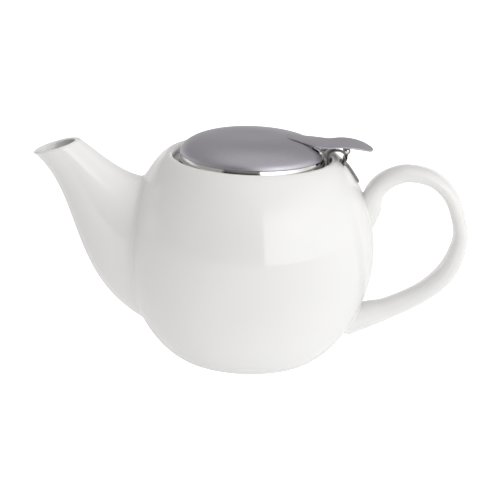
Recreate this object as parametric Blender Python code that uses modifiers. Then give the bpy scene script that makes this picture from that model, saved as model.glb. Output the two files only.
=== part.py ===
"""Porcelain teapot with a lift-out steel infuser and a hinged, thumb-lifted lid.

Metres, +Z up. The pot's axis is the Z axis, its foot stands on Z = 0, the spout
points along -X and the handle along +X. The lid turns about a pin parallel to Y
and is carried by the infuser, which lifts straight up out of the mouth.
"""
import math

import bmesh
import bpy
from mathutils import Vector

# ---- driving dimensions -----------------------------------------------------
GAP = 0.0003                 # clearance between touching pieces
TURN_STEPS = 48              # segments round every turned piece

# pot
BELLY_RADIUS = 0.0624
BELLY_HEIGHT = 0.0567        # height of the widest point
SHOULDER_RISE = 0.0686       # half-height of the ellipse that forms the shoulder
FOOT_RADIUS = 0.0265
FOOT_WIDTH = 0.0032
FOOT_DEPTH = 0.0016
LOWER_ROUNDNESS = 1.75       # 1 is a straight cone, 2 a quarter ellipse
WALL = 0.0042
FLOOR = 0.0055
LIP_RADIUS = 0.0415          # to the middle of the rounded lip
LIP_HALF = 0.0025            # the lip's own rounding
POT_HEIGHT = 0.1060
LEDGE_DROP = 0.0041          # from the lip's crest down to the ledge
NECK_BORE = 0.0354
NECK_DEPTH = 0.0045

# spout
SPOUT_REACH = 0.1085
SPOUT_TIP_HEIGHT = 0.1038
SPOUT_CUT_RISE = 0.0074      # how much higher the inner edge of the tip is
SPOUT_TIP_LENGTH = 0.0226    # along X, across the slanting tip
SPOUT_TIP_HALF = 0.0100
SPOUT_ROOT_HALF = 0.0275
SPOUT_WALL = 0.0022
POUR_HOLE_RADIUS = 0.0100
POUR_HOLE_HEIGHT = 0.0640

# handle
HANDLE_REACH = 0.1085
HANDLE_TOP = 0.0990          # highest point of its middle line
HANDLE_WIDTH = 0.0170
HANDLE_THICKNESS = 0.0073
HANDLE_SQUARENESS = 2.6
HANDLE_UPPER_ROOT = 0.0802
HANDLE_LOWER_ROOT = 0.0210

# infuser
SHEET = 0.0008
COLLAR_SPIGOT = 0.0090
BASKET_DEPTH = 0.0800
BASKET_SHEET = 0.0006
HOOP_HEIGHT = 0.0050

# lid
LID_RADIUS = 0.0360
DOME_RISE = 0.0072           # above the upright edge
DOME_EDGE = 0.0022           # upright edge, rounded over
DOME_SQUARENESS = 5.0        # 2 is a plain cap, more is flatter with a rounder edge
SKIRT_HEIGHT = 0.0033        # from the collar up to the dome's edge
BEAD = 0.0005
LINER_DROP = 0.0010          # extra gap between the liner's crown and the dome
TAB_HALF = 0.0108
TAB_REACH = 0.0599
SLIT_START = 0.0163
SLIT_WIDTH = 0.0005
NOTCH_START = 0.0248         # from here on the tab leaves the dome's curve
TAB_LIFT = 0.0005            # how far it stands over the dome there
SKIRT_FLARE = 0.0006         # how much wider the skirt is at its foot

# hinge
PIN_OUT = 0.0049             # from the lip's middle radius out to the pin
PIN_RISE = 0.0049            # from the lip's crest up to the pin
PIN_RADIUS = 0.0007
KNUCKLE_RADIUS = 0.0018
HINGE_HALF = 0.0070
LEAF_HALF = 0.0040
ARCH_RADIUS = 0.0050
TONGUE_LENGTH = 0.0105

# ---- heights and radii that follow ------------------------------------------
LEDGE = POT_HEIGHT - LEDGE_DROP
MOUTH_RADIUS = LIP_RADIUS - LIP_HALF
COLLAR_TOP = LEDGE + GAP + SHEET
BASKET_RADIUS = NECK_BORE - GAP - SHEET - GAP
BASKET_TOP = COLLAR_TOP - SHEET - GAP
BASKET_BOTTOM = BASKET_TOP - BASKET_DEPTH
SKIRT_BOTTOM = COLLAR_TOP + GAP
RIM_HEIGHT = SKIRT_BOTTOM + SKIRT_HEIGHT
PIN_X = LIP_RADIUS + PIN_OUT
PIN_Z = POT_HEIGHT + PIN_RISE

PORCELAIN = ("porcelain", (0.86, 0.86, 0.85), 0.08, 0.0)
BRUSHED = ("brushed steel", (0.52, 0.51, 0.52), 0.38, 1.0)
POLISHED = ("polished steel", (0.72, 0.71, 0.70), 0.10, 1.0)
SATIN = ("satin steel", (0.60, 0.60, 0.60), 0.28, 1.0)


# ---- scene helpers ----------------------------------------------------------
def clear_scene():
    for old in list(bpy.data.objects):
        bpy.data.objects.remove(old, do_unlink=True)


def new_collection(name):
    group = bpy.data.collections.new(name)
    bpy.context.scene.collection.children.link(group)
    return group


def material(name, finish):
    _, colour, roughness, metallic = finish
    mat = bpy.data.materials.new(name)
    mat.use_nodes = True
    shader = mat.node_tree.nodes["Principled BSDF"]
    shader.inputs["Base Color"].default_value = (*colour, 1.0)
    shader.inputs["Roughness"].default_value = roughness
    shader.inputs["Metallic"].default_value = metallic
    return mat


def add_object(name, mesh, group, finish=None):
    obj = bpy.data.objects.new(name, mesh)
    group.objects.link(obj)
    if finish is not None:
        mesh.materials.append(material(name, finish))
    return obj


def mesh_of(name, vertices, edges, faces):
    mesh = bpy.data.meshes.new(name)
    mesh.from_pydata([tuple(v) for v in vertices], edges, faces)
    mesh.update()
    return mesh


def smooth(obj, angle=35.0):
    obj.data.shade_smooth()
    obj.data.set_sharp_from_angle(angle=math.radians(angle))


def as_cutter(obj):
    obj.hide_render = True
    obj.display_type = "WIRE"
    return obj


def cut(obj, cutter, operation="DIFFERENCE"):
    mod = obj.modifiers.new(operation.lower() + " " + cutter.name, "BOOLEAN")
    mod.operation = operation
    mod.object = cutter
    return mod


def turned(name, profile, group, finish=None, ring=False):
    """Turn (radius, height) points about Z; the outer side runs from top to bottom."""
    count = len(profile)
    edges = [(i, i + 1) for i in range(count - 1)]
    if ring:
        edges.append((count - 1, 0))
    mesh = mesh_of(name, [(r, 0.0, z) for r, z in profile], edges, [])
    obj = add_object(name, mesh, group, finish)
    mod = obj.modifiers.new("turn", "SCREW")
    mod.axis = "Z"
    mod.steps = TURN_STEPS
    mod.render_steps = TURN_STEPS
    mod.use_merge_vertices = True
    mod.merge_threshold = 0.00001
    return obj


def to_mesh(obj, group, name, finish=None):
    """Replace a curve by the mesh it makes, with its caps welded."""
    bpy.context.view_layer.update()
    evaluated = obj.evaluated_get(bpy.context.evaluated_depsgraph_get())
    mesh = bpy.data.meshes.new_from_object(evaluated)
    matrix = obj.matrix_world.copy()
    bpy.data.objects.remove(obj, do_unlink=True)
    work = bmesh.new()
    work.from_mesh(mesh)
    bmesh.ops.remove_doubles(work, verts=work.verts, dist=0.00001)
    bmesh.ops.recalc_face_normals(work, faces=work.faces)
    work.to_mesh(mesh)
    work.free()
    mesh.materials.clear()
    made = add_object(name, mesh, group, finish)
    made.matrix_world = matrix
    return made


def plate(name, outline, thickness, group, finish=None):
    """A flat outline in its own XY plane, thickened evenly to both sides."""
    curve = bpy.data.curves.new(name, "CURVE")
    curve.dimensions = "2D"
    curve.fill_mode = "BOTH"
    curve.extrude = thickness / 2.0
    spline = curve.splines.new("POLY")
    spline.points.add(len(outline) - 1)
    for point, (x, y) in zip(spline.points, outline):
        point.co = (x, y, 0.0, 1.0)
    spline.use_cyclic_u = True
    obj = bpy.data.objects.new(name, curve)
    group.objects.link(obj)
    return to_mesh(obj, group, name, finish)


def side_plate(name, outline, low_y, high_y, group, finish=None):
    """A plate whose outline is given as (x, z) and which spans low_y to high_y."""
    obj = plate(name, outline, high_y - low_y, group, finish)
    obj.rotation_euler = (math.pi / 2.0, 0.0, 0.0)
    obj.location = (0.0, (low_y + high_y) / 2.0, 0.0)
    return obj


def flat_plate(name, outline, low_z, high_z, group, finish=None):
    """A plate whose outline is given as (x, y) and which spans low_z to high_z."""
    obj = plate(name, outline, high_z - low_z, group, finish)
    obj.location = (0.0, 0.0, (low_z + high_z) / 2.0)
    return obj


def cylinder(name, radius, start, end, group, finish=None, segments=16):
    """A closed cylinder between two points."""
    start, end = Vector(start), Vector(end)
    work = bmesh.new()
    bmesh.ops.create_cone(work, cap_ends=True, segments=segments, radius1=radius,
                          radius2=radius, depth=(end - start).length)
    mesh = bpy.data.meshes.new(name)
    work.to_mesh(mesh)
    work.free()
    obj = add_object(name, mesh, group, finish)
    obj.rotation_euler = (end - start).to_track_quat("Z", "Y").to_euler()
    obj.location = (start + end) / 2.0
    return obj


def loft(name, rings, group, finish=None, closed=False):
    """Skin equal rings of points; the ends are capped unless the loft is closed."""
    count = len(rings[0])
    vertices = [point for ring in rings for point in ring]
    faces = []
    spans = len(rings) if closed else len(rings) - 1
    for i in range(spans):
        here = i * count
        there = ((i + 1) % len(rings)) * count
        for j in range(count):
            k = (j + 1) % count
            faces.append((here + j, here + k, there + k, there + j))
    if not closed:
        faces.append(tuple(range(count))[::-1])
        last = (len(rings) - 1) * count
        faces.append(tuple(last + j for j in range(count)))
    mesh = mesh_of(name, vertices, [], faces)
    work = bmesh.new()
    work.from_mesh(mesh)
    bmesh.ops.recalc_face_normals(work, faces=work.faces)
    work.to_mesh(mesh)
    work.free()
    return add_object(name, mesh, group, finish)


# ---- geometry helpers -------------------------------------------------------
def bezier(points, t):
    a, b, c, d = (Vector(p) for p in points)
    s = 1.0 - t
    return a * s ** 3 + b * 3 * s * s * t + c * 3 * s * t * t + d * t ** 3


def spline_through(points, steps):
    """Catmull-Rom rows through points of any length, steps rows to a span."""
    rows = []
    last = len(points) - 1
    for i in range(last):
        before, here = points[max(i - 1, 0)], points[i]
        there, after = points[i + 1], points[min(i + 2, last)]
        for k in range(steps):
            t = k / steps
            row = []
            for a, b, c, d in zip(before, here, there, after):
                row.append(0.5 * (2 * b + (c - a) * t + (2 * a - 5 * b + 4 * c - d) * t * t
                                  + (3 * b - a - 3 * c + d) * t ** 3))
            rows.append(tuple(row))
    rows.append(tuple(points[-1]))
    return rows


def arc(centre, radius, first, final, count):
    """Points on a circle, from first to final degrees."""
    points = []
    for i in range(count + 1):
        angle = math.radians(first + (final - first) * i / count)
        points.append((centre[0] + radius * math.cos(angle), centre[1] + radius * math.sin(angle)))
    return points


def shoulder_radius(height):
    """Outer radius of the pot at a height above its widest point."""
    rise = (height - BELLY_HEIGHT) / SHOULDER_RISE
    return BELLY_RADIUS * math.sqrt(max(1.0 - rise * rise, 0.0))


def lower_point(angle, shrink=0.0):
    """Outer point of the pot below its widest point, moved inwards by shrink."""
    reach = math.sin(angle) ** (2.0 / LOWER_ROUNDNESS)
    drop = math.cos(angle) ** (2.0 / LOWER_ROUNDNESS)
    radius = FOOT_RADIUS + (BELLY_RADIUS - FOOT_RADIUS) * reach
    height = BELLY_HEIGHT - (BELLY_HEIGHT - FOOT_DEPTH / 2.0) * drop
    return radius - shrink * reach, height + shrink * drop


def outer_side(grow=0.0):
    """The pot's outer line from the lip down to the foot, grown outwards."""
    lip_height = POT_HEIGHT - 1.6 * LIP_HALF
    points = []
    for i in range(15):
        height = lip_height + (BELLY_HEIGHT - lip_height) * i / 14.0
        points.append((shoulder_radius(height) + grow, height))
    for i in range(13, 0, -1):
        radius, height = lower_point(math.pi / 2.0 * i / 14.0)
        points.append((radius + grow, height - grow * 0.5))
    return points


# ---- the pot ----------------------------------------------------------------
def pot_profile():
    lip = (LIP_RADIUS, POT_HEIGHT - LIP_HALF)
    neck_end = LEDGE - NECK_DEPTH
    points = [(0.0, FLOOR)]
    for i in range(3, 15, 2):
        points.append(lower_point(math.pi / 2.0 * i / 14.0, WALL + 0.0005))
    points[1] = (points[1][0], max(points[1][1], FLOOR + 0.0008))
    for i in range(1, 8):
        height = BELLY_HEIGHT + (neck_end - 0.0025 - BELLY_HEIGHT) * i / 7.0
        points.append((shoulder_radius(height) - WALL, height))
    points.append((NECK_BORE + 2.0 * WALL, neck_end - 0.0004))
    points.append((NECK_BORE + 0.0010, neck_end))
    points.append((NECK_BORE, neck_end + 0.0010))
    points.append((NECK_BORE, LEDGE))
    points.append((MOUTH_RADIUS, LEDGE))
    points += arc(lip, LIP_HALF, 180.0, 54.0, 7)
    points += outer_side()
    points.append((FOOT_RADIUS, FOOT_DEPTH / 2.0))
    points.append((FOOT_RADIUS - 0.0004, 0.0))
    points.append((FOOT_RADIUS - FOOT_WIDTH, 0.0))
    points.append((FOOT_RADIUS - FOOT_WIDTH - 0.0006, FOOT_DEPTH))
    points.append((0.0, FOOT_DEPTH))
    return points


def make_pot(group, cutters):
    body = turned("pot_body", pot_profile(), group, PORCELAIN)
    smooth(body, 40.0)
    hole = cylinder("pour hole cutter", POUR_HOLE_RADIUS,
                    (-BELLY_RADIUS - 0.02, 0.0, POUR_HOLE_HEIGHT),
                    (-BASKET_RADIUS - 0.004, 0.0, POUR_HOLE_HEIGHT), cutters, segments=20)
    cut(body, as_cutter(hole))
    grown = [(0.0, POT_HEIGHT)] + outer_side(GAP) + [(0.0, -0.001)]
    return as_cutter(turned("pot envelope", grown, cutters))


def spout_edges():
    """Upper and lower edge lines of the spout in the XZ plane, from tip to root."""
    low_tip = (-SPOUT_REACH, SPOUT_TIP_HEIGHT)
    high_tip = (-SPOUT_REACH + SPOUT_TIP_LENGTH, SPOUT_TIP_HEIGHT + SPOUT_CUT_RISE)
    upper_root = (-BELLY_RADIUS + 0.0164, BELLY_HEIGHT + 0.0353)
    lower_root = (-BELLY_RADIUS + 0.0124, BELLY_HEIGHT - 0.0372)
    upper = (high_tip, (high_tip[0] + 0.0129, high_tip[1] - 0.0087),
             (upper_root[0] - 0.0165, upper_root[1] - 0.0010), upper_root)
    lower = (low_tip, (low_tip[0] + 0.0255, low_tip[1] - 0.0198),
             (lower_root[0] - 0.0410, lower_root[1] + 0.0205), lower_root)
    return upper, lower


def spout_ring(t, shrink):
    upper, lower = spout_edges()
    high, low = bezier(upper, t), bezier(lower, t)
    middle = (high + low) / 2.0
    reach = (high - low) / 2.0
    long_half = reach.length - shrink
    direction = reach.normalized()
    side_half = SPOUT_TIP_HALF + (SPOUT_ROOT_HALF - SPOUT_TIP_HALF) * t ** 1.5 - shrink
    ring = []
    for i in range(20):
        angle = 2.0 * math.pi * i / 20
        along = direction * (long_half * math.cos(angle))
        ring.append((middle.x + along.x, side_half * math.sin(angle), middle.y + along.y))
    return ring


def make_spout(group, envelope):
    stations = [i / 12.0 for i in range(13)]
    outside = [spout_ring(t, 0.0) for t in stations]
    inside = [spout_ring(t, SPOUT_WALL) for t in reversed(stations)]
    spout = loft("spout", outside + inside, group, PORCELAIN, closed=True)
    smooth(spout, 40.0)
    cut(spout, envelope)
    return spout


def handle_stations():
    """Rows of (x, z, thickness, width) along the handle, upper root to lower root."""
    out = HANDLE_REACH - HANDLE_THICKNESS / 2.0
    top = HANDLE_TOP
    root = BELLY_RADIUS
    thick, wide = HANDLE_THICKNESS, HANDLE_WIDTH
    return [
        (root - 0.0094, HANDLE_UPPER_ROOT - 0.0102, thick + 0.0067, wide + 0.0030),
        (root - 0.0034, HANDLE_UPPER_ROOT + 0.0003, thick + 0.0042, wide + 0.0020),
        (root - 0.0015, HANDLE_UPPER_ROOT + 0.0078, thick + 0.0020, wide + 0.0010),
        (root + 0.0025, top - 0.0060, thick + 0.0013, wide),
        (root + 0.0160, top, thick + 0.0003, wide),
        (out - 0.0142, top - 0.0028, thick + 0.0001, wide),
        (out - 0.0051, top - 0.0119, thick - 0.0001, wide),
        (out - 0.0001, top - 0.0270, thick, wide),
        (out - 0.0006, top - 0.0378, thick + 0.0007, wide),
        (out - 0.0062, top - 0.0507, thick + 0.0019, wide),
        (out - 0.0178, HANDLE_LOWER_ROOT + 0.0166, thick + 0.0013, wide),
        (root + 0.0082, HANDLE_LOWER_ROOT + 0.0080, thick + 0.0017, wide + 0.0010),
        (root - 0.0002, HANDLE_LOWER_ROOT + 0.0050, thick + 0.0037, wide + 0.0030),
        (root - 0.0130, HANDLE_LOWER_ROOT + 0.0006, thick + 0.0060, wide + 0.0060),
    ]


def handle_ring(row, tangent):
    x, z, thickness, width = row
    across = Vector((-tangent.y, tangent.x))
    power = 2.0 / HANDLE_SQUARENESS
    ring = []
    for i in range(16):
        angle = 2.0 * math.pi * (i + 0.5) / 16
        c, s = math.cos(angle), math.sin(angle)
        thick = thickness / 2.0 * math.copysign(abs(s) ** power, s)
        side = width / 2.0 * math.copysign(abs(c) ** power, c)
        ring.append((x + across.x * thick, side, z + across.y * thick))
    return ring


def make_handle(group, envelope):
    rows = spline_through(handle_stations(), 3)
    rings = []
    for i, row in enumerate(rows):
        before, after = rows[max(i - 1, 0)], rows[min(i + 1, len(rows) - 1)]
        tangent = Vector((after[0] - before[0], after[1] - before[1])).normalized()
        rings.append(handle_ring(row, tangent))
    handle = loft("handle", rings, group, PORCELAIN)
    smooth(handle, 40.0)
    cut(handle, envelope)
    return handle


# ---- the infuser ------------------------------------------------------------
def make_collar(group):
    """Ring that hangs on the pot's ledge, with a spigot down the neck."""
    outer = MOUTH_RADIUS - GAP
    spigot = NECK_BORE - GAP
    inner = spigot - SHEET
    profile = [(inner, COLLAR_TOP), (outer, COLLAR_TOP), (outer, COLLAR_TOP - SHEET),
               (spigot, COLLAR_TOP - SHEET), (spigot, COLLAR_TOP - COLLAR_SPIGOT),
               (inner, COLLAR_TOP - COLLAR_SPIGOT)]
    collar = turned("collar", profile, group, SATIN, ring=True)
    smooth(collar)
    return collar


def make_basket(group):
    """Perforated wall, floor and the hoop that binds them."""
    inner = BASKET_RADIUS - BASKET_SHEET
    wall = turned("basket_wall", [(inner, BASKET_TOP), (BASKET_RADIUS, BASKET_TOP),
                                  (BASKET_RADIUS, BASKET_BOTTOM), (inner, BASKET_BOTTOM)],
                  group, SATIN, ring=True)
    smooth(wall)
    low = BASKET_BOTTOM + BASKET_SHEET
    reach = inner - GAP
    floor = turned("basket_floor", [(0.0, low + BASKET_SHEET), (reach, low + BASKET_SHEET),
                                    (reach, low), (0.0, low)], group, SATIN)
    smooth(floor)
    hoop_in = BASKET_RADIUS + GAP
    hoop_out = hoop_in + 0.5 * SHEET
    base = BASKET_BOTTOM - GAP
    hoop = turned("basket_hoop", [(hoop_in, base + HOOP_HEIGHT), (hoop_out, base + HOOP_HEIGHT),
                                  (hoop_out, base - SHEET), (inner - 0.0025, base - SHEET),
                                  (inner - 0.0025, base), (hoop_in, base)],
                  group, SATIN, ring=True)
    smooth(hoop)


def strip(line, thickness):
    """Outline of a strip of sheet whose middle follows a line of (x, z) points."""
    left, right = [], []
    for i, point in enumerate(line):
        before, after = line[max(i - 1, 0)], line[min(i + 1, len(line) - 1)]
        run = Vector((after[0] - before[0], after[1] - before[1])).normalized()
        side = Vector((-run.y, run.x)) * (thickness / 2.0)
        left.append((point[0] + side.x, point[1] + side.y))
        right.append((point[0] - side.x, point[1] - side.y))
    return left + right[::-1]


def saddle_line():
    """Middle line of the clip: inner leg, arch over the lip, tongue outside."""
    half = SHEET / 2.0
    centre = (LIP_RADIUS + 0.0005, POT_HEIGHT + 0.0002)
    middle = ARCH_RADIUS - half
    points = [(centre[0] - middle, COLLAR_TOP + GAP)]
    points += arc(centre, middle, 180.0, 10.0, 10)
    first = POT_HEIGHT - 0.0016
    for i in range(7):
        height = first - TONGUE_LENGTH * i / 6.0
        points.append((shoulder_radius(height) + GAP + half + 0.0001, height))
    return points


def make_saddle(group, cutters):
    saddle = side_plate("saddle_clip", strip(saddle_line(), SHEET), -HINGE_HALF, HINGE_HALF,
                        group, SATIN)
    for side, name in ((-1, "front"), (1, "rear")):
        near, far = side * (LEAF_HALF + GAP), side * HINGE_HALF
        lug = cylinder(name + " lug", KNUCKLE_RADIUS, (PIN_X, near, PIN_Z), (PIN_X, far, PIN_Z),
                       cutters, segments=20)
        cut(saddle, as_cutter(lug), "UNION")
    room = LEAF_HALF + GAP
    low = POT_HEIGHT + 0.0012
    high = PIN_Z + KNUCKLE_RADIUS + 0.001
    near, far = LIP_RADIUS, PIN_X + KNUCKLE_RADIUS + 0.001
    window = side_plate("knuckle window", [(near, low), (far, low), (far, high), (near, high)],
                        -room, room, cutters)
    cut(saddle, as_cutter(window))
    bore = cylinder("clip bore", PIN_RADIUS + GAP, (PIN_X, -HINGE_HALF - 0.001, PIN_Z),
                    (PIN_X, HINGE_HALF + 0.001, PIN_Z), cutters, segments=12)
    cut(saddle, as_cutter(bore))
    return saddle


def make_pin(group, cutters):
    """Pin with a peened head at each end."""
    end = HINGE_HALF + GAP + 0.0006
    pin = cylinder("hinge_pin", PIN_RADIUS, (0.0, -end, 0.0), (0.0, end, 0.0),
                   group, POLISHED, segments=12)
    pin.location = (PIN_X, 0.0, PIN_Z)
    for side, name in ((-1, "front"), (1, "rear")):
        inner, outer = side * (HINGE_HALF + GAP), side * (end + 0.0002)
        head = cylinder(name + " pin head", PIN_RADIUS * 1.6, (PIN_X, inner, PIN_Z),
                        (PIN_X, outer, PIN_Z), cutters, segments=12)
        cut(pin, as_cutter(head), "UNION")
    return pin


# ---- the lid ----------------------------------------------------------------
def dome_height(radius):
    """Top of the dome at a distance from the pot's axis."""
    share = radius / LID_RADIUS
    return RIM_HEIGHT + DOME_EDGE + DOME_RISE * (1.0 - share ** DOME_SQUARENESS)


def tab_height(x):
    """Top of the thumb tab along the middle of the lid."""
    crown = PIN_Z + KNUCKLE_RADIUS + GAP + SHEET
    points = [(SLIT_START - 0.0040, dome_height(SLIT_START - 0.0040)),
              (SLIT_START, dome_height(SLIT_START)),
              (NOTCH_START, dome_height(NOTCH_START) + TAB_LIFT),
              ((NOTCH_START + PIN_X) / 2.0, crown - 0.0004),
              (PIN_X - 0.0076, crown - 0.0006),
              (PIN_X - 0.0014, crown),
              (PIN_X + 0.0066, crown - 0.0010),
              (TAB_REACH, crown - 0.0031)]
    rows = spline_through(points, 6)
    for (x0, z0), (x1, z1) in zip(rows, rows[1:]):
        if x <= x1:
            return z0 + (z1 - z0) * (x - x0) / (x1 - x0)
    return rows[-1][1]


def make_tab(cutters):
    """Thumb tab, let into the dome at its root."""
    start = SLIT_START - 0.0030
    taper = PIN_X + 0.0010
    inset = 0.0001
    rings = []
    count = 18
    for i in range(count + 1):
        x = start + (TAB_REACH - 0.0002 - start) * math.sin(math.pi / 2.0 * i / count)
        share = max(x - taper, 0.0) / (TAB_REACH - taper)
        half = TAB_HALF * math.sqrt(1.0 - share * share)
        rooted = x < SLIT_START + SLIT_WIDTH
        trim = inset if rooted else 0.0
        curled = min(x, NOTCH_START)
        flatness = min(max(x - NOTCH_START, 0.0) / (PIN_X - 0.0060 - NOTCH_START), 1.0)
        top, bottom = [], []
        for k in range(5):
            y = half * (k / 2.0 - 1.0)
            fall = dome_height(curled) - dome_height(math.hypot(curled, y))
            z = tab_height(x) - fall * (1.0 - flatness) - trim
            top.append((x, y, z))
            bottom.append((x, y, z - SHEET + 2.0 * trim))
        rings.append(top + bottom[::-1])
    return as_cutter(loft("tab", rings, cutters))


def make_dome(group, cutters):
    shares = [0.0, 0.2, 0.35, 0.5, 0.62, 0.73, 0.82, 0.90, 0.96]
    outside = [(LID_RADIUS * share, dome_height(LID_RADIUS * share)) for share in shares]
    inner = LID_RADIUS - SHEET
    inside = [(inner * share, z - SHEET) for share, (_, z) in zip(shares, outside)]
    edge = [(LID_RADIUS - 0.0004, RIM_HEIGHT + DOME_EDGE), (LID_RADIUS, RIM_HEIGHT + 0.5 * DOME_EDGE),
            (LID_RADIUS, RIM_HEIGHT), (inner, RIM_HEIGHT)]
    dome = turned("lid_dome", outside + edge + inside[::-1], group, BRUSHED)
    smooth(dome)
    side, past = TAB_HALF + SLIT_WIDTH, LID_RADIUS + 0.006
    strip_room = flat_plate("tab room", [(SLIT_START, -side), (past, -side), (past, side),
                                         (SLIT_START, side)],
                            RIM_HEIGHT - 0.004, RIM_HEIGHT + 0.02, cutters)
    cut(dome, as_cutter(strip_room))
    cut(dome, make_tab(cutters), "UNION")
    return dome


def liner_height(radius):
    """Top of the polished liner under the dome."""
    share = radius / (LID_RADIUS - SHEET - GAP)
    return dome_height(LID_RADIUS * share) - SHEET - GAP - LINER_DROP


def make_liner(group):
    """Polished inner lid: low dome, upright skirt and a bead round its foot."""
    skirt = LID_RADIUS - 0.0002
    upper = skirt - SKIRT_FLARE
    reach = LID_RADIUS - SHEET - GAP
    shares = [0.0, 0.25, 0.45, 0.6, 0.72, 0.82, 0.91, 1.0]
    outside = [(reach * share, liner_height(reach * share)) for share in shares]
    inside = [((reach - SHEET) * share, z - SHEET) for share, (_, z) in zip(shares, outside)]
    edge = outside[-1][1] - 0.0001
    profile = outside + [(upper, edge), (skirt, SKIRT_BOTTOM + 2.0 * BEAD),
                         (skirt + BEAD, SKIRT_BOTTOM + 1.5 * BEAD),
                         (skirt + BEAD, SKIRT_BOTTOM + 0.5 * BEAD),
                         (skirt, SKIRT_BOTTOM), (skirt - SHEET, SKIRT_BOTTOM),
                         (upper - SHEET, edge - SHEET)]
    liner = turned("lid_liner", profile + inside[::-1], group, POLISHED)
    smooth(liner)
    return liner


def make_leaf(group, cutters):
    """Hinge leaf: lies on the liner's shoulder and curls round the pin."""
    half = SHEET / 2.0
    on_liner = LID_RADIUS - 0.0060
    edge = LID_RADIUS - 0.0022
    rest = GAP + half + 0.0002
    top = PIN_Z + KNUCKLE_RADIUS - half
    line = [(on_liner, liner_height(on_liner) + rest),
            ((on_liner + edge) / 2.0, liner_height((on_liner + edge) / 2.0) + rest),
            (edge, liner_height(edge) + rest + 0.0003),
            (LID_RADIUS + 0.0026, top - 0.0012),
            (PIN_X - 0.0030, top - 0.0001),
            (PIN_X, top)]
    leaf = side_plate("hinge_leaf", strip(line, SHEET), -LEAF_HALF, LEAF_HALF, group, SATIN)
    curl = cylinder("leaf curl", KNUCKLE_RADIUS, (PIN_X, -LEAF_HALF, PIN_Z),
                    (PIN_X, LEAF_HALF, PIN_Z), cutters, segments=20)
    cut(leaf, as_cutter(curl), "UNION")
    bore = cylinder("leaf bore", PIN_RADIUS + GAP, (PIN_X, -LEAF_HALF - 0.001, PIN_Z),
                    (PIN_X, LEAF_HALF + 0.001, PIN_Z), cutters, segments=12)
    cut(leaf, as_cutter(bore))
    return leaf


def main():
    clear_scene()
    group = new_collection("teapot_infuser")
    cutters = new_collection("cutters")
    envelope = make_pot(group, cutters)
    make_spout(group, envelope)
    make_handle(group, envelope)
    make_collar(group)
    make_basket(group)
    make_saddle(group, cutters)
    make_pin(group, cutters)
    make_dome(group, cutters)
    make_liner(group)
    make_leaf(group, cutters)


main()
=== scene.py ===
"""Porcelain teapot with a lift-out steel infuser and a hinged, thumb-lifted lid.

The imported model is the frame. Each sub-assembly below builds its own finished
surfaces on it, in metres, with +Z up, the spout towards -X and the handle
towards +X.
"""
import logging
import math
from collections.abc import Callable, Sequence
from dataclasses import dataclass, field
from enum import Enum

import bmesh
import bpy
import numpy as np
from mathutils import Matrix, Vector


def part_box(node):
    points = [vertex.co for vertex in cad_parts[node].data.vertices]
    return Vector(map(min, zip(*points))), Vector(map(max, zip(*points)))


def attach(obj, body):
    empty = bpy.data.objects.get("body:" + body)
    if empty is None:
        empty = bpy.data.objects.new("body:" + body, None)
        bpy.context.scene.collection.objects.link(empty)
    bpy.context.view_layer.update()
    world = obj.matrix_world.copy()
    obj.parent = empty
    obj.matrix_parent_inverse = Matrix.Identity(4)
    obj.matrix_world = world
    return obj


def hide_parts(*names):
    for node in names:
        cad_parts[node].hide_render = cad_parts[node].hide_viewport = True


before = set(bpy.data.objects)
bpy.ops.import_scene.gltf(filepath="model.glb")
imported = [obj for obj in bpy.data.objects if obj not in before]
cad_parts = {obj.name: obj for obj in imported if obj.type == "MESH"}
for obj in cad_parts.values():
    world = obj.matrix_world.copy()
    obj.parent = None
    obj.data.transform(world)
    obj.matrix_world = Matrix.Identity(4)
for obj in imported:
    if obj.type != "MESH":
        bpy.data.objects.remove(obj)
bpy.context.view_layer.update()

log = logging.getLogger("teapot")

Point2 = tuple[float, float]
Node = bpy.types.Node
Socket = bpy.types.NodeSocket

MM = 0.001
CLEARANCE = 0.3 * MM          # gap the solids keep between pieces that touch
SHEET = 0.8 * MM              # steel sheet
ROUND_STEPS = 192             # segments round the large turned pieces


class Body(Enum):
    """The bodies that pieces ride on."""

    POT = "pot"
    INFUSER = "infuser"
    LID = "lid"


class Slot(Enum):
    """The record's material slots."""

    PORCELAIN = "glazed_porcelain"
    BRUSHED = "brushed_steel"
    POLISHED = "polished_steel"
    SATIN = "satin_steel"
    PERFORATED = "perforated_steel"


# ---- plane curves -----------------------------------------------------------
def arc(centre: Point2, radius: float, first: float, last: float, steps: int) -> list[Point2]:
    """Points on a circle.

    Args:
        centre: middle of the circle.
        radius: its radius.
        first: first angle in degrees.
        last: last angle in degrees.
        steps: number of spans.

    Returns:
        The points, both ends included.
    """
    angles = [math.radians(first + (last - first) * i / steps) for i in range(steps + 1)]
    return [(centre[0] + radius * math.cos(a), centre[1] + radius * math.sin(a)) for a in angles]


def catmull(points: Sequence[Sequence[float]], place: float) -> tuple[float, ...]:
    """One row of a Catmull-Rom curve.

    Args:
        points: rows that the curve passes through.
        place: position along it, counted in rows from the first.

    Returns:
        The row at that place.
    """
    last = len(points) - 1
    i = min(int(place), last - 1)
    t = place - i
    before, here = points[max(i - 1, 0)], points[i]
    there, after = points[i + 1], points[min(i + 2, last)]
    row = []
    for a, b, c, d in zip(before, here, there, after):
        row.append(0.5 * (2 * b + (c - a) * t + (2 * a - 5 * b + 4 * c - d) * t * t
                          + (3 * b - a - 3 * c + d) * t ** 3))
    return tuple(row)


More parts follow.
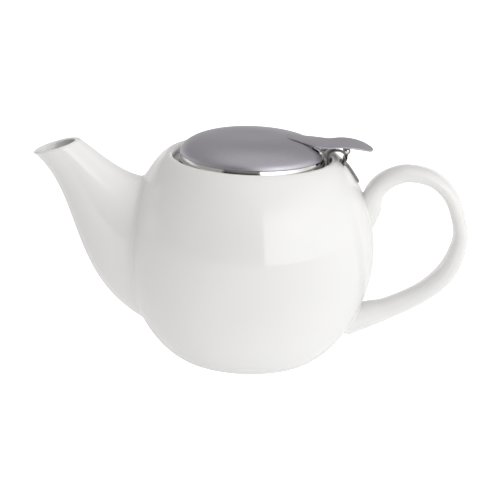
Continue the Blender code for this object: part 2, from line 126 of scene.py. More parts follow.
def fair_curve(points: Sequence[Point2], steps: int) -> list[Point2]:
    """Natural cubic spline through points, with an even change of curvature.

    Args:
        points: points that the curve passes through.
        steps: spans between two of them.

    Returns:
        Points on the curve, both ends included.
    """
    knots = np.array(points, float)
    run = np.concatenate([[0.0], np.cumsum(np.linalg.norm(np.diff(knots, axis=0), axis=1))])
    count = len(knots)
    span = np.diff(run)
    system = np.eye(count)
    right = np.zeros((count, 2))
    for i in range(1, count - 1):
        system[i, i - 1:i + 2] = span[i - 1], 2.0 * (span[i - 1] + span[i]), span[i]
        right[i] = 6.0 * ((knots[i + 1] - knots[i]) / span[i] - (knots[i] - knots[i - 1]) / span[i - 1])
    bend = np.linalg.solve(system, right)
    curve = []
    for i in range(count - 1):
        for k in range(steps):
            b = k / steps
            a = 1.0 - b
            value = a * knots[i] + b * knots[i + 1]
            value = value + ((a ** 3 - a) * bend[i] + (b ** 3 - b) * bend[i + 1]) * span[i] ** 2 / 6.0
            curve.append((float(value[0]), float(value[1])))
    curve.append((float(knots[-1][0]), float(knots[-1][1])))
    return curve


def eased(outline: Sequence[Point2], radius: float, closed: bool, steps: int = 3) -> list[Point2]:
    """An outline with its corners rounded.

    Args:
        outline: corner points in order.
        radius: how far from each corner the rounding starts.
        closed: whether the last point joins the first.
        steps: spans in each rounding.

    Returns:
        The rounded outline.
    """
    count = len(outline)
    rounded = []
    for i, corner in enumerate(outline):
        if not closed and i in (0, count - 1):
            rounded.append(corner)
            continue
        here = Vector(corner)
        before, after = Vector(outline[i - 1]), Vector(outline[(i + 1) % count])
        reach = min(radius, 0.45 * (here - before).length, 0.45 * (after - here).length)
        start = here + (before - here).normalized() * reach
        end = here + (after - here).normalized() * reach
        for k in range(steps + 1):
            t = k / steps
            spot = start * (1 - t) ** 2 + here * 2 * t * (1 - t) + end * t * t
            rounded.append((spot.x, spot.y))
    return rounded


# ---- meshes -----------------------------------------------------------------
def mesh_of(name: str, vertices: Sequence[Sequence[float]], faces: Sequence[Sequence[int]],
            weld: float = 0.0, outward: bool = True) -> bpy.types.Mesh:
    """A mesh from points and faces, welded and with its faces turned outwards.

    Args:
        name: name of the mesh.
        vertices: its points.
        faces: its faces, as point numbers.
        weld: points closer than this are merged, where it isn't zero.
        outward: whether the faces' directions are worked out afresh.

    Returns:
        The mesh.
    """
    mesh = bpy.data.meshes.new(name)
    mesh.from_pydata([tuple(v) for v in vertices], [], faces)
    work = bmesh.new()
    work.from_mesh(mesh)
    if weld:
        bmesh.ops.remove_doubles(work, verts=work.verts, dist=weld)
    if outward:
        bmesh.ops.recalc_face_normals(work, faces=work.faces)
    work.to_mesh(mesh)
    work.free()
    return mesh


def turned(name: str, profile: Sequence[Point2], ring: bool = False,
           steps: int = ROUND_STEPS) -> bpy.types.Mesh:
    """A profile of (radius, height) points turned about the Z axis.

    Args:
        name: name of the mesh.
        profile: the points, which start and end on the axis unless it is a ring.
        ring: whether the last point joins the first.
        steps: segments round the axis.

    Returns:
        The closed mesh.
    """
    vertices: list[Sequence[float]] = []
    rows: list[list[int]] = []
    for radius, height in profile:
        first = len(vertices)
        if radius < 1e-7:
            vertices.append((0.0, 0.0, height))
            rows.append([first] * steps)
            continue
        for i in range(steps):
            turn = 2.0 * math.pi * i / steps
            vertices.append((radius * math.cos(turn), radius * math.sin(turn), height))
        rows.append(list(range(first, first + steps)))
    pairs = list(zip(rows, rows[1:]))
    if ring:
        pairs.append((rows[-1], rows[0]))
    faces = []
    for upper, lower in pairs:
        for i in range(steps):
            k = (i + 1) % steps
            corners = list(dict.fromkeys([upper[i], upper[k], lower[k], lower[i]]))
            if len(corners) > 2:
                faces.append(corners)
    return mesh_of(name, vertices, faces)


def skinned(name: str, rows: Sequence[Sequence[Vector]], closed: bool) -> bpy.types.Mesh:
    """A tube skinned over rows of points.

    Args:
        name: name of the mesh.
        rows: rings with equally many points.
        closed: whether the last ring joins the first; otherwise both ends are capped.

    Returns:
        The closed mesh.
    """
    width = len(rows[0])
    vertices = [point for row in rows for point in row]
    faces: list[Sequence[int]] = []
    for i in range(len(rows) if closed else len(rows) - 1):
        here, there = i * width, ((i + 1) % len(rows)) * width
        for j in range(width):
            k = (j + 1) % width
            faces.append((here + j, here + k, there + k, there + j))
    if not closed:
        last = (len(rows) - 1) * width
        faces.append(list(range(width))[::-1])
        faces.append(list(range(last, last + width)))
    return mesh_of(name, vertices, faces)


def pressed(name: str, line: Sequence[Point2], low: float, high: float,
            thickness: float = SHEET) -> bpy.types.Mesh:
    """A strip of sheet whose middle follows a line in the XZ plane.

    Args:
        name: name of the mesh.
        line: (x, z) points along its middle.
        low: its lower limit in Y.
        high: its upper limit in Y.
        thickness: of the sheet.

    Returns:
        The closed mesh.
    """
    rows = []
    for i, point in enumerate(line):
        before, after = line[max(i - 1, 0)], line[min(i + 1, len(line) - 1)]
        run = Vector((after[0] - before[0], after[1] - before[1])).normalized()
        x, z = -run.y * thickness / 2.0, run.x * thickness / 2.0
        rows.append([Vector((point[0] + x, low, point[1] + z)),
                     Vector((point[0] + x, high, point[1] + z)),
                     Vector((point[0] - x, high, point[1] - z)),
                     Vector((point[0] - x, low, point[1] - z))])
    return skinned(name, rows, closed=False)


def joined(name: str, parts: Sequence[bpy.types.Mesh]) -> bpy.types.Mesh:
    """Several meshes as one.

    Args:
        name: name of the result.
        parts: the meshes.

    Returns:
        The joined mesh.
    """
    work = bmesh.new()
    for part in parts:
        work.from_mesh(part)
    mesh = bpy.data.meshes.new(name)
    work.to_mesh(mesh)
    work.free()
    return mesh


def settled(obj: bpy.types.Object) -> bpy.types.Object:
    """The object with its modifiers turned into plain mesh.

    Args:
        obj: an object with live modifiers.

    Returns:
        The same object.
    """
    bpy.context.view_layer.update()
    mesh = bpy.data.meshes.new_from_object(obj.evaluated_get(bpy.context.evaluated_depsgraph_get()))
    obj.modifiers.clear()
    obj.data = mesh
    return obj


def with_edges(obj: bpy.types.Object, width: float, limit: float = 50.0,
               segments: int = 2) -> bpy.types.Object:
    """The object with its sharp edges broken by a small bevel.

    Args:
        obj: the object.
        width: of the bevel.
        limit: edges sharper than this angle in degrees are bevelled.
        segments: of the bevel.

    Returns:
        The same object.
    """
    bevel = obj.modifiers.new("broken edges", "BEVEL")
    bevel.width = width
    bevel.segments = segments
    bevel.limit_method = "ANGLE"
    bevel.angle_limit = math.radians(limit)
    return settled(obj)


def new_object(name: str, mesh: bpy.types.Mesh | None) -> bpy.types.Object:
    """An object at the origin that holds a mesh."""
    obj = bpy.data.objects.new(name, mesh)
    bpy.context.scene.collection.objects.link(obj)
    return obj


def piece(obj: bpy.types.Object, finish: "Finish", body: Body, stands_for: Sequence[str],
          sharp: float = 38.0) -> bpy.types.Object:
    """Finish a piece: smooth shading, material, body and the solids that it stands for.

    Args:
        obj: the object, with its place in its mesh.
        finish: what it is made of.
        body: the body that it rides on.
        stands_for: names of the solids that it replaces.
        sharp: edges over this angle in degrees stay sharp.

    Returns:
        The same object.
    """
    mesh = obj.data
    mesh.shade_smooth()
    mesh.set_sharp_from_angle(angle=math.radians(sharp))
    mesh.materials.clear()
    mesh.materials.append(finish.material())
    mesh.polygons.foreach_set("material_index", [0] * len(mesh.polygons))
    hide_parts(*stands_for)
    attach(obj, body.value)
    log.info("%-18s %6d faces, rides on %s", obj.name, len(mesh.polygons), body.value)
    return obj


# ---- finishes ---------------------------------------------------------------
class Tree:
    """A node tree with short ways to add and join its nodes."""

    def __init__(self, tree: bpy.types.NodeTree) -> None:
        """Hold the tree that nodes are added to."""
        self.tree = tree

    def add(self, kind: str, links: dict[str | int, Socket | float | tuple] | None = None,
            **settings: object) -> Node:
        """Add a node.

        Args:
            kind: the node's type name.
            links: what each input takes, a socket or a plain value.
            settings: the node's own properties.

        Returns:
            The node.
        """
        node = self.tree.nodes.new(kind)
        for name, value in settings.items():
            setattr(node, name, value)
        for key, value in (links or {}).items():
            if isinstance(value, bpy.types.NodeSocket):
                self.tree.links.new(value, node.inputs[key])
            else:
                node.inputs[key].default_value = value
        return node

    def math(self, operation: str, *values: Socket | float) -> Socket:
        """Add a Math node and return its result."""
        return self.add("ShaderNodeMath", dict(enumerate(values)), operation=operation).outputs[0]

    def mapped(self, value: Socket, low: float, high: float, to_low: float = 0.0,
               to_high: float = 1.0) -> Socket:
        """Add a smooth Map Range node and return its result."""
        node = self.add("ShaderNodeMapRange", {0: value, 1: low, 2: high, 3: to_low, 4: to_high},
                        interpolation_type="SMOOTHSTEP")
        return node.outputs[0]

    def mixed(self, share: Socket, first: Socket | tuple, second: Socket | tuple) -> Socket:
        """Add a colour Mix node and return its result."""
        node = self.add("ShaderNodeMix", {0: share, 6: first, 7: second}, data_type="RGBA")
        return node.outputs[2]


def shader_group(name: str, inputs: dict[str, tuple[str, float | None]],
                 outputs: dict[str, str]) -> tuple[Tree, Node, Node] | None:
    """Start a shader node group, unless it is there already.

    Args:
        name: of the group.
        inputs: each input's socket type and starting value.
        outputs: each output's socket type.

    Returns:
        The tree with its input and output nodes, or None if the group exists.
    """
    if name in bpy.data.node_groups:
        return None
    group = bpy.data.node_groups.new(name, "ShaderNodeTree")
    for label, (kind, start) in inputs.items():
        socket = group.interface.new_socket(label, in_out="INPUT", socket_type=kind)
        if start is not None:
            socket.default_value = start
    for label, kind in outputs.items():
        group.interface.new_socket(label, in_out="OUTPUT", socket_type=kind)
    tree = Tree(group)
    return tree, tree.add("NodeGroupInput"), tree.add("NodeGroupOutput")


def soft_mottle() -> bpy.types.NodeTree:
    """Group: slow unevenness, as of a glaze that ran or a sheet that was rolled.

    Returns:
        The node group, with Value from 0 to 1 as its output.
    """
    name = "soft mottle"
    made = shader_group(name, {"Vector": ("NodeSocketVector", None), "Scale": ("NodeSocketFloat", 20.0),
                               "Detail": ("NodeSocketFloat", 2.0)},
                        {"Value": "NodeSocketFloat"})
    if made:
        tree, start, end = made
        noise = tree.add("ShaderNodeTexNoise", {"Vector": start.outputs["Vector"],
                                                "Scale": start.outputs["Scale"],
                                                "Detail": start.outputs["Detail"],
                                                "Roughness": 0.45})
        tree.tree.links.new(tree.mapped(noise.outputs["Fac"], 0.3, 0.7), end.inputs["Value"])
    return bpy.data.node_groups[name]


def drawn_grain() -> bpy.types.NodeTree:
    """Group: fine lines of an abrasive belt, long along X and close across it.

    Returns:
        The node group, with Height and Shade from 0 to 1 as its outputs.
    """
    name = "drawn grain"
    made = shader_group(name, {"Vector": ("NodeSocketVector", None), "Along": ("NodeSocketFloat", 60.0),
                               "Across": ("NodeSocketFloat", 5000.0)},
                        {"Height": "NodeSocketFloat", "Shade": "NodeSocketFloat"})
    if made:
        tree, start, end = made
        stretch = tree.add("ShaderNodeCombineXYZ", {"X": start.outputs["Along"],
                                                    "Y": start.outputs["Across"],
                                                    "Z": start.outputs["Across"]})
        scaled = tree.add("ShaderNodeVectorMath", {0: start.outputs["Vector"],
                                                   1: stretch.outputs["Vector"]},
                          operation="MULTIPLY")
        fine = tree.add("ShaderNodeTexNoise", {"Vector": scaled.outputs["Vector"], "Scale": 1.0,
                                               "Detail": 3.0, "Roughness": 0.6})
        broad = tree.add("ShaderNodeTexNoise", {"Vector": scaled.outputs["Vector"], "Scale": 0.45,
                                                "Detail": 2.0, "Roughness": 0.5})
        tree.tree.links.new(fine.outputs["Fac"], end.inputs["Height"])
        tree.tree.links.new(tree.mapped(broad.outputs["Fac"], 0.1, 0.9), end.inputs["Shade"])
    return bpy.data.node_groups[name]


def handling_marks() -> bpy.types.NodeTree:
    """Group: faint wipe marks and hairlines that handling leaves on steel.

    Returns:
        The node group, with Mask from 0 to 1 as its output.
    """
    name = "handling marks"
    made = shader_group(name, {"Vector": ("NodeSocketVector", None), "Size": ("NodeSocketFloat", 70.0),
                               "Amount": ("NodeSocketFloat", 0.5)},
                        {"Mask": "NodeSocketFloat"})
    if made:
        tree, start, end = made
        cloud = tree.add("ShaderNodeTexNoise", {"Vector": start.outputs["Vector"],
                                                "Scale": start.outputs["Size"], "Detail": 3.0,
                                                "Distortion": 0.6})
        fine = tree.math("MULTIPLY", start.outputs["Size"], 9.0)
        hair = tree.add("ShaderNodeTexWave", {"Vector": start.outputs["Vector"], "Scale": fine,
                                              "Distortion": 14.0, "Detail": 2.0},
                        bands_direction="DIAGONAL")
        lines = tree.mapped(hair.outputs["Fac"], 0.94, 1.0)
        wiped = tree.mapped(cloud.outputs["Fac"], 0.45, 0.75)
        both = tree.math("MAXIMUM", wiped, tree.math("MULTIPLY", lines, wiped))
        tree.tree.links.new(tree.math("MULTIPLY", both, start.outputs["Amount"]), end.inputs["Mask"])
    return bpy.data.node_groups[name]


@dataclass(frozen=True)
class Finish:
    """What a piece is made of. Subclasses dress the material's shader."""

    name: str
    slot: Slot
    colour: tuple[float, float, float]
    second: tuple[float, float, float]
    roughness: float
    spread: float = 0.04

    def material(self) -> bpy.types.Material:
        """The finish's material, made once.

        Returns:
            The material.
        """
        if self.name in bpy.data.materials:
            return bpy.data.materials[self.name]
        made = bpy.data.materials.new(self.name)
        made.use_nodes = True
        shader = made.node_tree.nodes["Principled BSDF"]
        tree = Tree(made.node_tree)
        place = tree.add("ShaderNodeTexCoord").outputs["Object"]
        self.dress(tree, shader, place)
        return made

    def dress(self, tree: Tree, shader: Node, place: Socket) -> None:
        """Join the finish's colour, roughness and relief to the shader.

        Args:
            tree: the material's tree.
            shader: its Principled shader.
            place: the object's own coordinates.
        """
        raise NotImplementedError


def bumped(tree: Tree, shader: Node, height: Socket, depth: float, strength: float) -> None:
    """Feed a height to the shader's Normal through a Bump node.

    Args:
        tree: the material's tree.
        shader: its Principled shader.
        height: the height, from 0 to 1.
        depth: how deep 1 is, in metres.
        strength: of the effect.
    """
    bump = tree.add("ShaderNodeBump", {"Height": height, "Distance": depth, "Strength": strength})
    tree.tree.links.new(bump.outputs["Normal"], shader.inputs["Normal"])


@dataclass(frozen=True)
class Glaze(Finish):
    """Clear glaze over white porcelain, bare on the underside of the foot."""

    bare: tuple[float, float, float] = (0.78, 0.75, 0.70)
    bare_below: float = 0.35 * MM

    def dress(self, tree: Tree, shader: Node, place: Socket) -> None:
        """Off-white with a slow unevenness, glossy except under the foot.

        Args:
            tree: the material's tree.
            shader: its Principled shader.
            place: the object's own coordinates.
        """
        slow = tree.add("ShaderNodeGroup", {}, node_tree=soft_mottle())
        fine = tree.add("ShaderNodeGroup", {}, node_tree=soft_mottle())
        for group, scale, detail in ((slow, 18.0, 1.0), (fine, 900.0, 2.0)):
            tree.tree.links.new(place, group.inputs["Vector"])
            group.inputs["Scale"].default_value = scale
            group.inputs["Detail"].default_value = detail
        height = tree.add("ShaderNodeSeparateXYZ", {0: place}).outputs["Z"]
        bare = tree.mapped(height, self.bare_below, 0.0)
        glazed = tree.mixed(slow.outputs["Value"], (*self.colour, 1.0), (*self.second, 1.0))
        tree.tree.links.new(tree.mixed(bare, glazed, (*self.bare, 1.0)), shader.inputs["Base Color"])
        rough = tree.mapped(fine.outputs["Value"], 0.0, 1.0, self.roughness,
                            self.roughness + self.spread)
        tree.tree.links.new(tree.math("MAXIMUM", rough, tree.math("MULTIPLY", bare, 0.6)),
                            shader.inputs["Roughness"])
        shader.inputs["IOR"].default_value = 1.52
        bumped(tree, shader, slow.outputs["Value"], 0.12 * MM, 0.35)


@dataclass(frozen=True)
class Steel(Finish):
    """Stainless steel, with grain and handling marks as deep as the finish has them."""

    grain: float = 0.0
    marks: float = 0.3
    anisotropy: float = 0.0

    def dress(self, tree: Tree, shader: Node, place: Socket) -> None:
        """Grained and slightly marked metal.

        Args:
            tree: the material's tree.
            shader: its Principled shader.
            place: the object's own coordinates.
        """
        grain = tree.add("ShaderNodeGroup", {"Vector": place}, node_tree=drawn_grain())
        marks = tree.add("ShaderNodeGroup", {"Vector": place, "Amount": self.marks},
                         node_tree=handling_marks())
        tint = tree.mixed(grain.outputs["Shade"], (*self.colour, 1.0), (*self.second, 1.0))
        tree.tree.links.new(tint, shader.inputs["Base Color"])
        rough = tree.mapped(grain.outputs["Shade"], 0.0, 1.0, self.roughness,
                            self.roughness + self.spread)
        worn = tree.math("MULTIPLY_ADD", marks.outputs["Mask"], 0.10, rough)
        tree.tree.links.new(worn, shader.inputs["Roughness"])
        tree.tree.links.new(tree.math("ADD", 1.0, tree.math("MULTIPLY", marks.outputs["Mask"], -0.02)),
                            shader.inputs["Metallic"])
        shader.inputs["Anisotropic"].default_value = self.anisotropy
        bumped(tree, shader, grain.outputs["Height"], 0.02 * MM, self.grain)


PORCELAIN = Glaze("white glazed porcelain", Slot.PORCELAIN, (0.86, 0.86, 0.85), (0.83, 0.83, 0.825),
                  0.05, 0.02)
BRUSHED = Steel("brushed dome steel", Slot.BRUSHED, (0.53, 0.52, 0.57), (0.49, 0.48, 0.53),
                0.40, 0.05, grain=0.25, marks=0.3, anisotropy=0.25)
POLISHED = Steel("polished skirt steel", Slot.POLISHED, (0.74, 0.72, 0.70), (0.70, 0.68, 0.66),
                 0.07, 0.03, grain=0.02, marks=0.35)
SATIN = Steel("satin pressed steel", Slot.SATIN, (0.60, 0.59, 0.60), (0.55, 0.545, 0.55),
              0.26, 0.06, grain=0.10, marks=0.4)
# Painted shade: the clip's base colour is darkened well below satin steel to stand in for the shadow and
# the dark reflection of the tab over the lip.
CLIP_PAINTED_SHADE = Steel("clip steel darkened as painted shade", Slot.SATIN, (0.30, 0.28, 0.27), (0.24, 0.22, 0.21),
               0.30, 0.06, grain=0.10, marks=0.4)
PERFORATED = Steel("perforated sheet steel", Slot.PERFORATED, (0.62, 0.62, 0.62), (0.57, 0.57, 0.57),
                   0.28, 0.06, grain=0.08, marks=0.3)


# ---- the pot ----------------------------------------------------------------
@dataclass
class Pot:
    """Porcelain body: turned belly, lip, ledge for the infuser, and foot ring."""

    low: Vector = field(default_factory=lambda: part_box("pot_body")[0])
    high: Vector = field(default_factory=lambda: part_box("pot_body")[1])
    belly_share: float = 0.535          # height of the widest point, of the whole height
    shoulder_rise: float = 68.6 * MM    # half-height of the shoulder's ellipse
    foot_radius: float = 26.5 * MM
    foot_width: float = 3.2 * MM
    foot_depth: float = 1.6 * MM
    lower_roundness: float = 1.75
    wall: float = 4.2 * MM
    floor: float = 5.5 * MM
    lip_half: float = 2.5 * MM
    ledge_drop: float = 4.1 * MM
    neck_bore: float = 35.4 * MM
    neck_depth: float = 4.5 * MM
    lip_radius: float = 41.5 * MM
    hole_radius: float = 10.0 * MM
    hole_height: float = 64.0 * MM
    skin: np.ndarray = field(init=False, repr=False)

    def __post_init__(self) -> None:
        """Work out the outer line that the spout and the handle land on."""
        self.belly_radius = self.high.y
        self.height = self.high.z
        self.belly_height = self.belly_share * self.height
        self.ledge = self.height - self.ledge_drop
        self.outer = fair_curve(self.outer_knots(), 12)
        line = np.array(self.outer)[::-1]
        self.skin = line[np.argsort(line[:, 1])]

    def shoulder(self, height: float) -> float:
        """Radius of the shoulder's ellipse at a height above the belly."""
        rise = (height - self.belly_height) / self.shoulder_rise
        return self.belly_radius * math.sqrt(max(1.0 - rise * rise, 0.0))

    def lower(self, degrees: float, inwards: float = 0.0) -> Point2:
        """A point below the belly.

        Args:
            degrees: 90 at the belly, 0 at the foot.
            inwards: distance inside the outer line.

        Returns:
            Its radius and height.
        """
        power = 2.0 / self.lower_roundness
        reach, drop = math.sin(math.radians(degrees)) ** power, math.cos(math.radians(degrees)) ** power
        radius = self.foot_radius + (self.belly_radius - self.foot_radius) * reach
        height = self.belly_height - (self.belly_height - self.foot_depth / 2.0) * drop
        return radius - inwards * reach, height + inwards * drop

    def outer_knots(self) -> list[Point2]:
        """Points from the outer side of the lip to the foot."""
        lip = (self.lip_radius, self.height - self.lip_half)
        knots = arc(lip, self.lip_half, 78.0, 54.0, 2)
        start = self.height - 1.6 * self.lip_half
        for share in (0.0, 0.1, 0.22, 0.37, 0.55, 0.75, 1.0):
            height = start + (self.belly_height - start) * share
            knots.append((self.shoulder(height), height))
        knots += [self.lower(degrees) for degrees in (70.0, 55.0, 42.0, 31.0, 21.0, 12.0, 5.0)]
        return knots

    def radius(self, height: float) -> float:
        """Outer radius at a height."""
        return float(np.interp(height, self.skin[:, 1], self.skin[:, 0]))

    def depth(self, point: Vector) -> tuple[float, Vector]:
        """How far a point stands off the outer surface, and the surface's direction there.

        Args:
            point: a point near the surface.

        Returns:
            The distance, negative inside, and the outward normal.
        """
        small = 0.4 * MM
        slope = (self.radius(point.z + small) - self.radius(point.z - small)) / (2.0 * small)
        across = math.hypot(point.x, point.y)
        normal = Vector((point.x / across, point.y / across, -slope)).normalized()
        return (across - self.radius(point.z)) / math.sqrt(1.0 + slope * slope), normal

    def landed(self, point: Vector, sunk: float = 0.0) -> Vector:
        """The nearest point on the outer surface, or a little below it."""
        spot = point.copy()
        for _ in range(4):
            off, normal = self.depth(spot)
            spot = spot - normal * off
        return spot - self.depth(spot)[1] * sunk

    def inner_line(self) -> list[Point2]:
        """The inside, from the middle of the floor up to the ledge."""
        neck = self.ledge - self.neck_depth
        knots = [self.lower(degrees, self.wall) for degrees in (26.0, 38.0, 50.0, 62.0, 76.0)]
        for share in (0.0, 0.2, 0.4, 0.6, 0.8, 1.0):
            height = self.belly_height + (neck - 2.5 * MM - self.belly_height) * share
            knots.append((self.shoulder(height) - self.wall, height))
        inside = fair_curve(knots, 6)
        wall = inside[0][0]
        bottom = [(0.0, self.floor), (0.5 * wall, self.floor), (0.85 * wall, self.floor + 0.3 * MM)]
        under = [(self.neck_bore + 2.0 * self.wall, neck - 0.4 * MM), (self.neck_bore, neck),
                 (self.neck_bore, self.ledge)]
        return bottom + inside + eased([inside[-1]] + under, 1.4 * MM, closed=False)[1:]

    def foot_line(self) -> list[Point2]:
        """The foot ring, from the outer line to the middle of the underside."""
        edge, inner = self.foot_radius, self.foot_radius - self.foot_width
        corners = [self.outer[-1], (edge + 0.1 * MM, 0.7 * MM), (edge - 0.6 * MM, 0.0),
                   (inner + 0.4 * MM, 0.0),
                   (inner - 0.5 * MM, self.foot_depth), (inner - 4.0 * MM, self.foot_depth)]
        return eased(corners, 0.6 * MM, closed=False)[1:] + [(0.0, self.foot_depth)]

    def build(self) -> bpy.types.Object:
        """Make the body, with the hole that lets tea into the spout."""
        mouth = self.lip_radius - self.lip_half
        lip = arc((self.lip_radius, self.height - self.lip_half), self.lip_half, 180.0, 82.0, 12)
        ledge = eased([(self.neck_bore, self.ledge - 0.5 * MM), (self.neck_bore, self.ledge),
                       (mouth, self.ledge), lip[0]], 0.3 * MM, closed=False)
        profile = self.inner_line()[:-1] + ledge[1:-1] + lip + self.outer + self.foot_line()
        obj = new_object("porcelain_body", turned("porcelain_body", profile))
        drill = new_object("pour hole drill", turned("drill", [
            (0.0, 0.0), (self.hole_radius, 0.0), (self.hole_radius, 32.0 * MM), (0.0, 32.0 * MM)],
            steps=48))
        drill.data.transform(Matrix.Translation((-self.belly_radius + 14.0 * MM, 0.0, self.hole_height))
                             @ Matrix.Rotation(-math.pi / 2.0, 4, "Y"))
        cutter = obj.modifiers.new("pour hole", "BOOLEAN")
        cutter.object = drill
        cutter.operation = "DIFFERENCE"
        settled(obj)
        bpy.data.objects.remove(drill)
        return piece(obj, PORCELAIN, Body.POT, ["pot_body"])


def run_onto(pot: Pot, curve: Callable[[float], Vector], middle: Callable[[float], Vector],
             start: float, end: float, radius: float, rows: int) -> list[Vector]:
    """One line of a limb's surface, led into the body by a fillet.

    Args:
        pot: the body that the limb grows out of.
        curve: the line's point at a place along the limb.
        middle: the limb's own middle at a place along it.
        start: place where the line starts, clear of the body.
        end: place where it is inside the body.
        radius: size of the fillet.
        rows: points along the free part of the line.

    Returns:
        The points, the last of them just under the body's surface.
    """
    clear, inside = start, end
    for _ in range(30):
        half = (clear + inside) / 2.0
        if pot.depth(curve(half))[0] > 0.0:
            clear = half
        else:
            inside = half
    meet = curve(clear)
    leave, arrive = start, clear
    for _ in range(26):
        half = (leave + arrive) / 2.0
        if (curve(half) - meet).length > radius:
            leave = half
        else:
            arrive = half
    points = [curve(start + (leave - start) * i / rows) for i in range(rows + 1)]
    normal = pot.depth(meet)[1]
    away = meet - middle(clear)
    away = (away - normal * away.dot(normal)).normalized()
    foot = pot.landed(meet + away * radius)
    steps = 10
    for i in range(1, steps + 1):
        t = i / steps
        points.append(points[rows] * (1 - t) ** 2 + meet * 2 * t * (1 - t) + foot * t * t)
    points.append(pot.landed(foot + away * 0.4 * MM, 0.3 * MM))
    return points


@dataclass
class Spout:
    """Tapering spout with a slanting, rounded mouth."""

    pot: Pot
    low: Vector = field(default_factory=lambda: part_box("spout")[0])
    high: Vector = field(default_factory=lambda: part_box("spout")[1])
    tip_rise: float = 7.4 * MM          # inner edge of the mouth over the outer
    tip_length: float = 22.6 * MM
    tip_half: float = 10.0 * MM
    root_half: float = 27.5 * MM
    wall: float = 2.2 * MM
    fillet: float = 2.2 * MM
    columns: int = 96
    rows: int = 56

    def edges(self, t: float) -> tuple[Vector, Vector]:
        """Upper and lower edge of the spout at a place, 0 at the tip and 1 at the root."""
        belly, height = self.pot.belly_radius, self.pot.belly_height
        low_tip = Vector((self.low.x, 0.0, self.high.z - self.tip_rise))
        high_tip = Vector((self.low.x + self.tip_length, 0.0, self.high.z))
        upper_root = Vector((-belly + 16.4 * MM, 0.0, height + 35.3 * MM))
        lower_root = Vector((-belly + 12.4 * MM, 0.0, height - 37.2 * MM))
        upper = (high_tip, high_tip + Vector((12.9, 0.0, -8.7)) * MM,
                 upper_root + Vector((-16.5, 0.0, -1.0)) * MM, upper_root)
        lower = (low_tip, low_tip + Vector((25.5, 0.0, -19.8)) * MM,
                 lower_root + Vector((-41.0, 0.0, 20.5)) * MM, lower_root)
        s = 1.0 - t
        weights = (s ** 3, 3 * s * s * t, 3 * s * t * t, t ** 3)
        high, low = Vector(), Vector()
        for weight, a, b in zip(weights, upper, lower):
            high, low = high + a * weight, low + b * weight
        return high, low

    def middle(self, t: float) -> Vector:
        """Middle of the spout at a place."""
        high, low = self.edges(t)
        return (high + low) / 2.0

    def point(self, t: float, turn: float, inwards: float = 0.0) -> Vector:
        """A point on the spout.

        Args:
            t: place along it, 0 at the tip and 1 at the root.
            turn: angle round it, 0 at its upper edge.
            inwards: distance inside the outer surface.

        Returns:
            The point.
        """
        high, low = self.edges(t)
        reach = (high - low) / 2.0
        along = reach.normalized() * (reach.length - inwards)
        side = self.tip_half + (self.root_half - self.tip_half) * t ** 1.5 - inwards
        return (high + low) / 2.0 + along * math.cos(turn) + Vector((0.0, side * math.sin(turn), 0.0))

    def build(self) -> bpy.types.Object:
        """Make the spout: outside onto the body, rounded rim, and bore."""
        columns = []
        high, low = self.edges(0.0)
        out = Vector((low.z - high.z, 0.0, high.x - low.x)).normalized()
        rim, first = self.wall / 2.0, 0.012
        for j in range(self.columns):
            turn = 2.0 * math.pi * j / self.columns
            column = run_onto(self.pot, lambda t: self.point(t, turn), self.middle, first, 1.0,
                              self.fillet, self.rows)[::-1]
            edge = self.point(0.0, turn)
            for k in range(1, 8):
                bend = math.pi * k / 8.0
                inwards = rim * (1.0 - math.cos(bend))
                column.append(self.point(0.0, turn, inwards) - out * rim * (1.0 - math.sin(bend)))
            bore = run_onto(self.pot, lambda t: self.point(t, turn, self.wall), self.middle, first, 1.0,
                            0.5 * MM, 30)
            stop = self.pot.landed(bore[31], 1.6 * MM)
            column += bore[:31] + [stop]
            columns.append(column)
        rows = [[column[i] for column in columns] for i in range(len(columns[0]))]
        obj = new_object("porcelain_spout", skinned("porcelain_spout", rows, closed=True))
        return piece(obj, PORCELAIN, Body.POT, ["spout"], sharp=60.0)


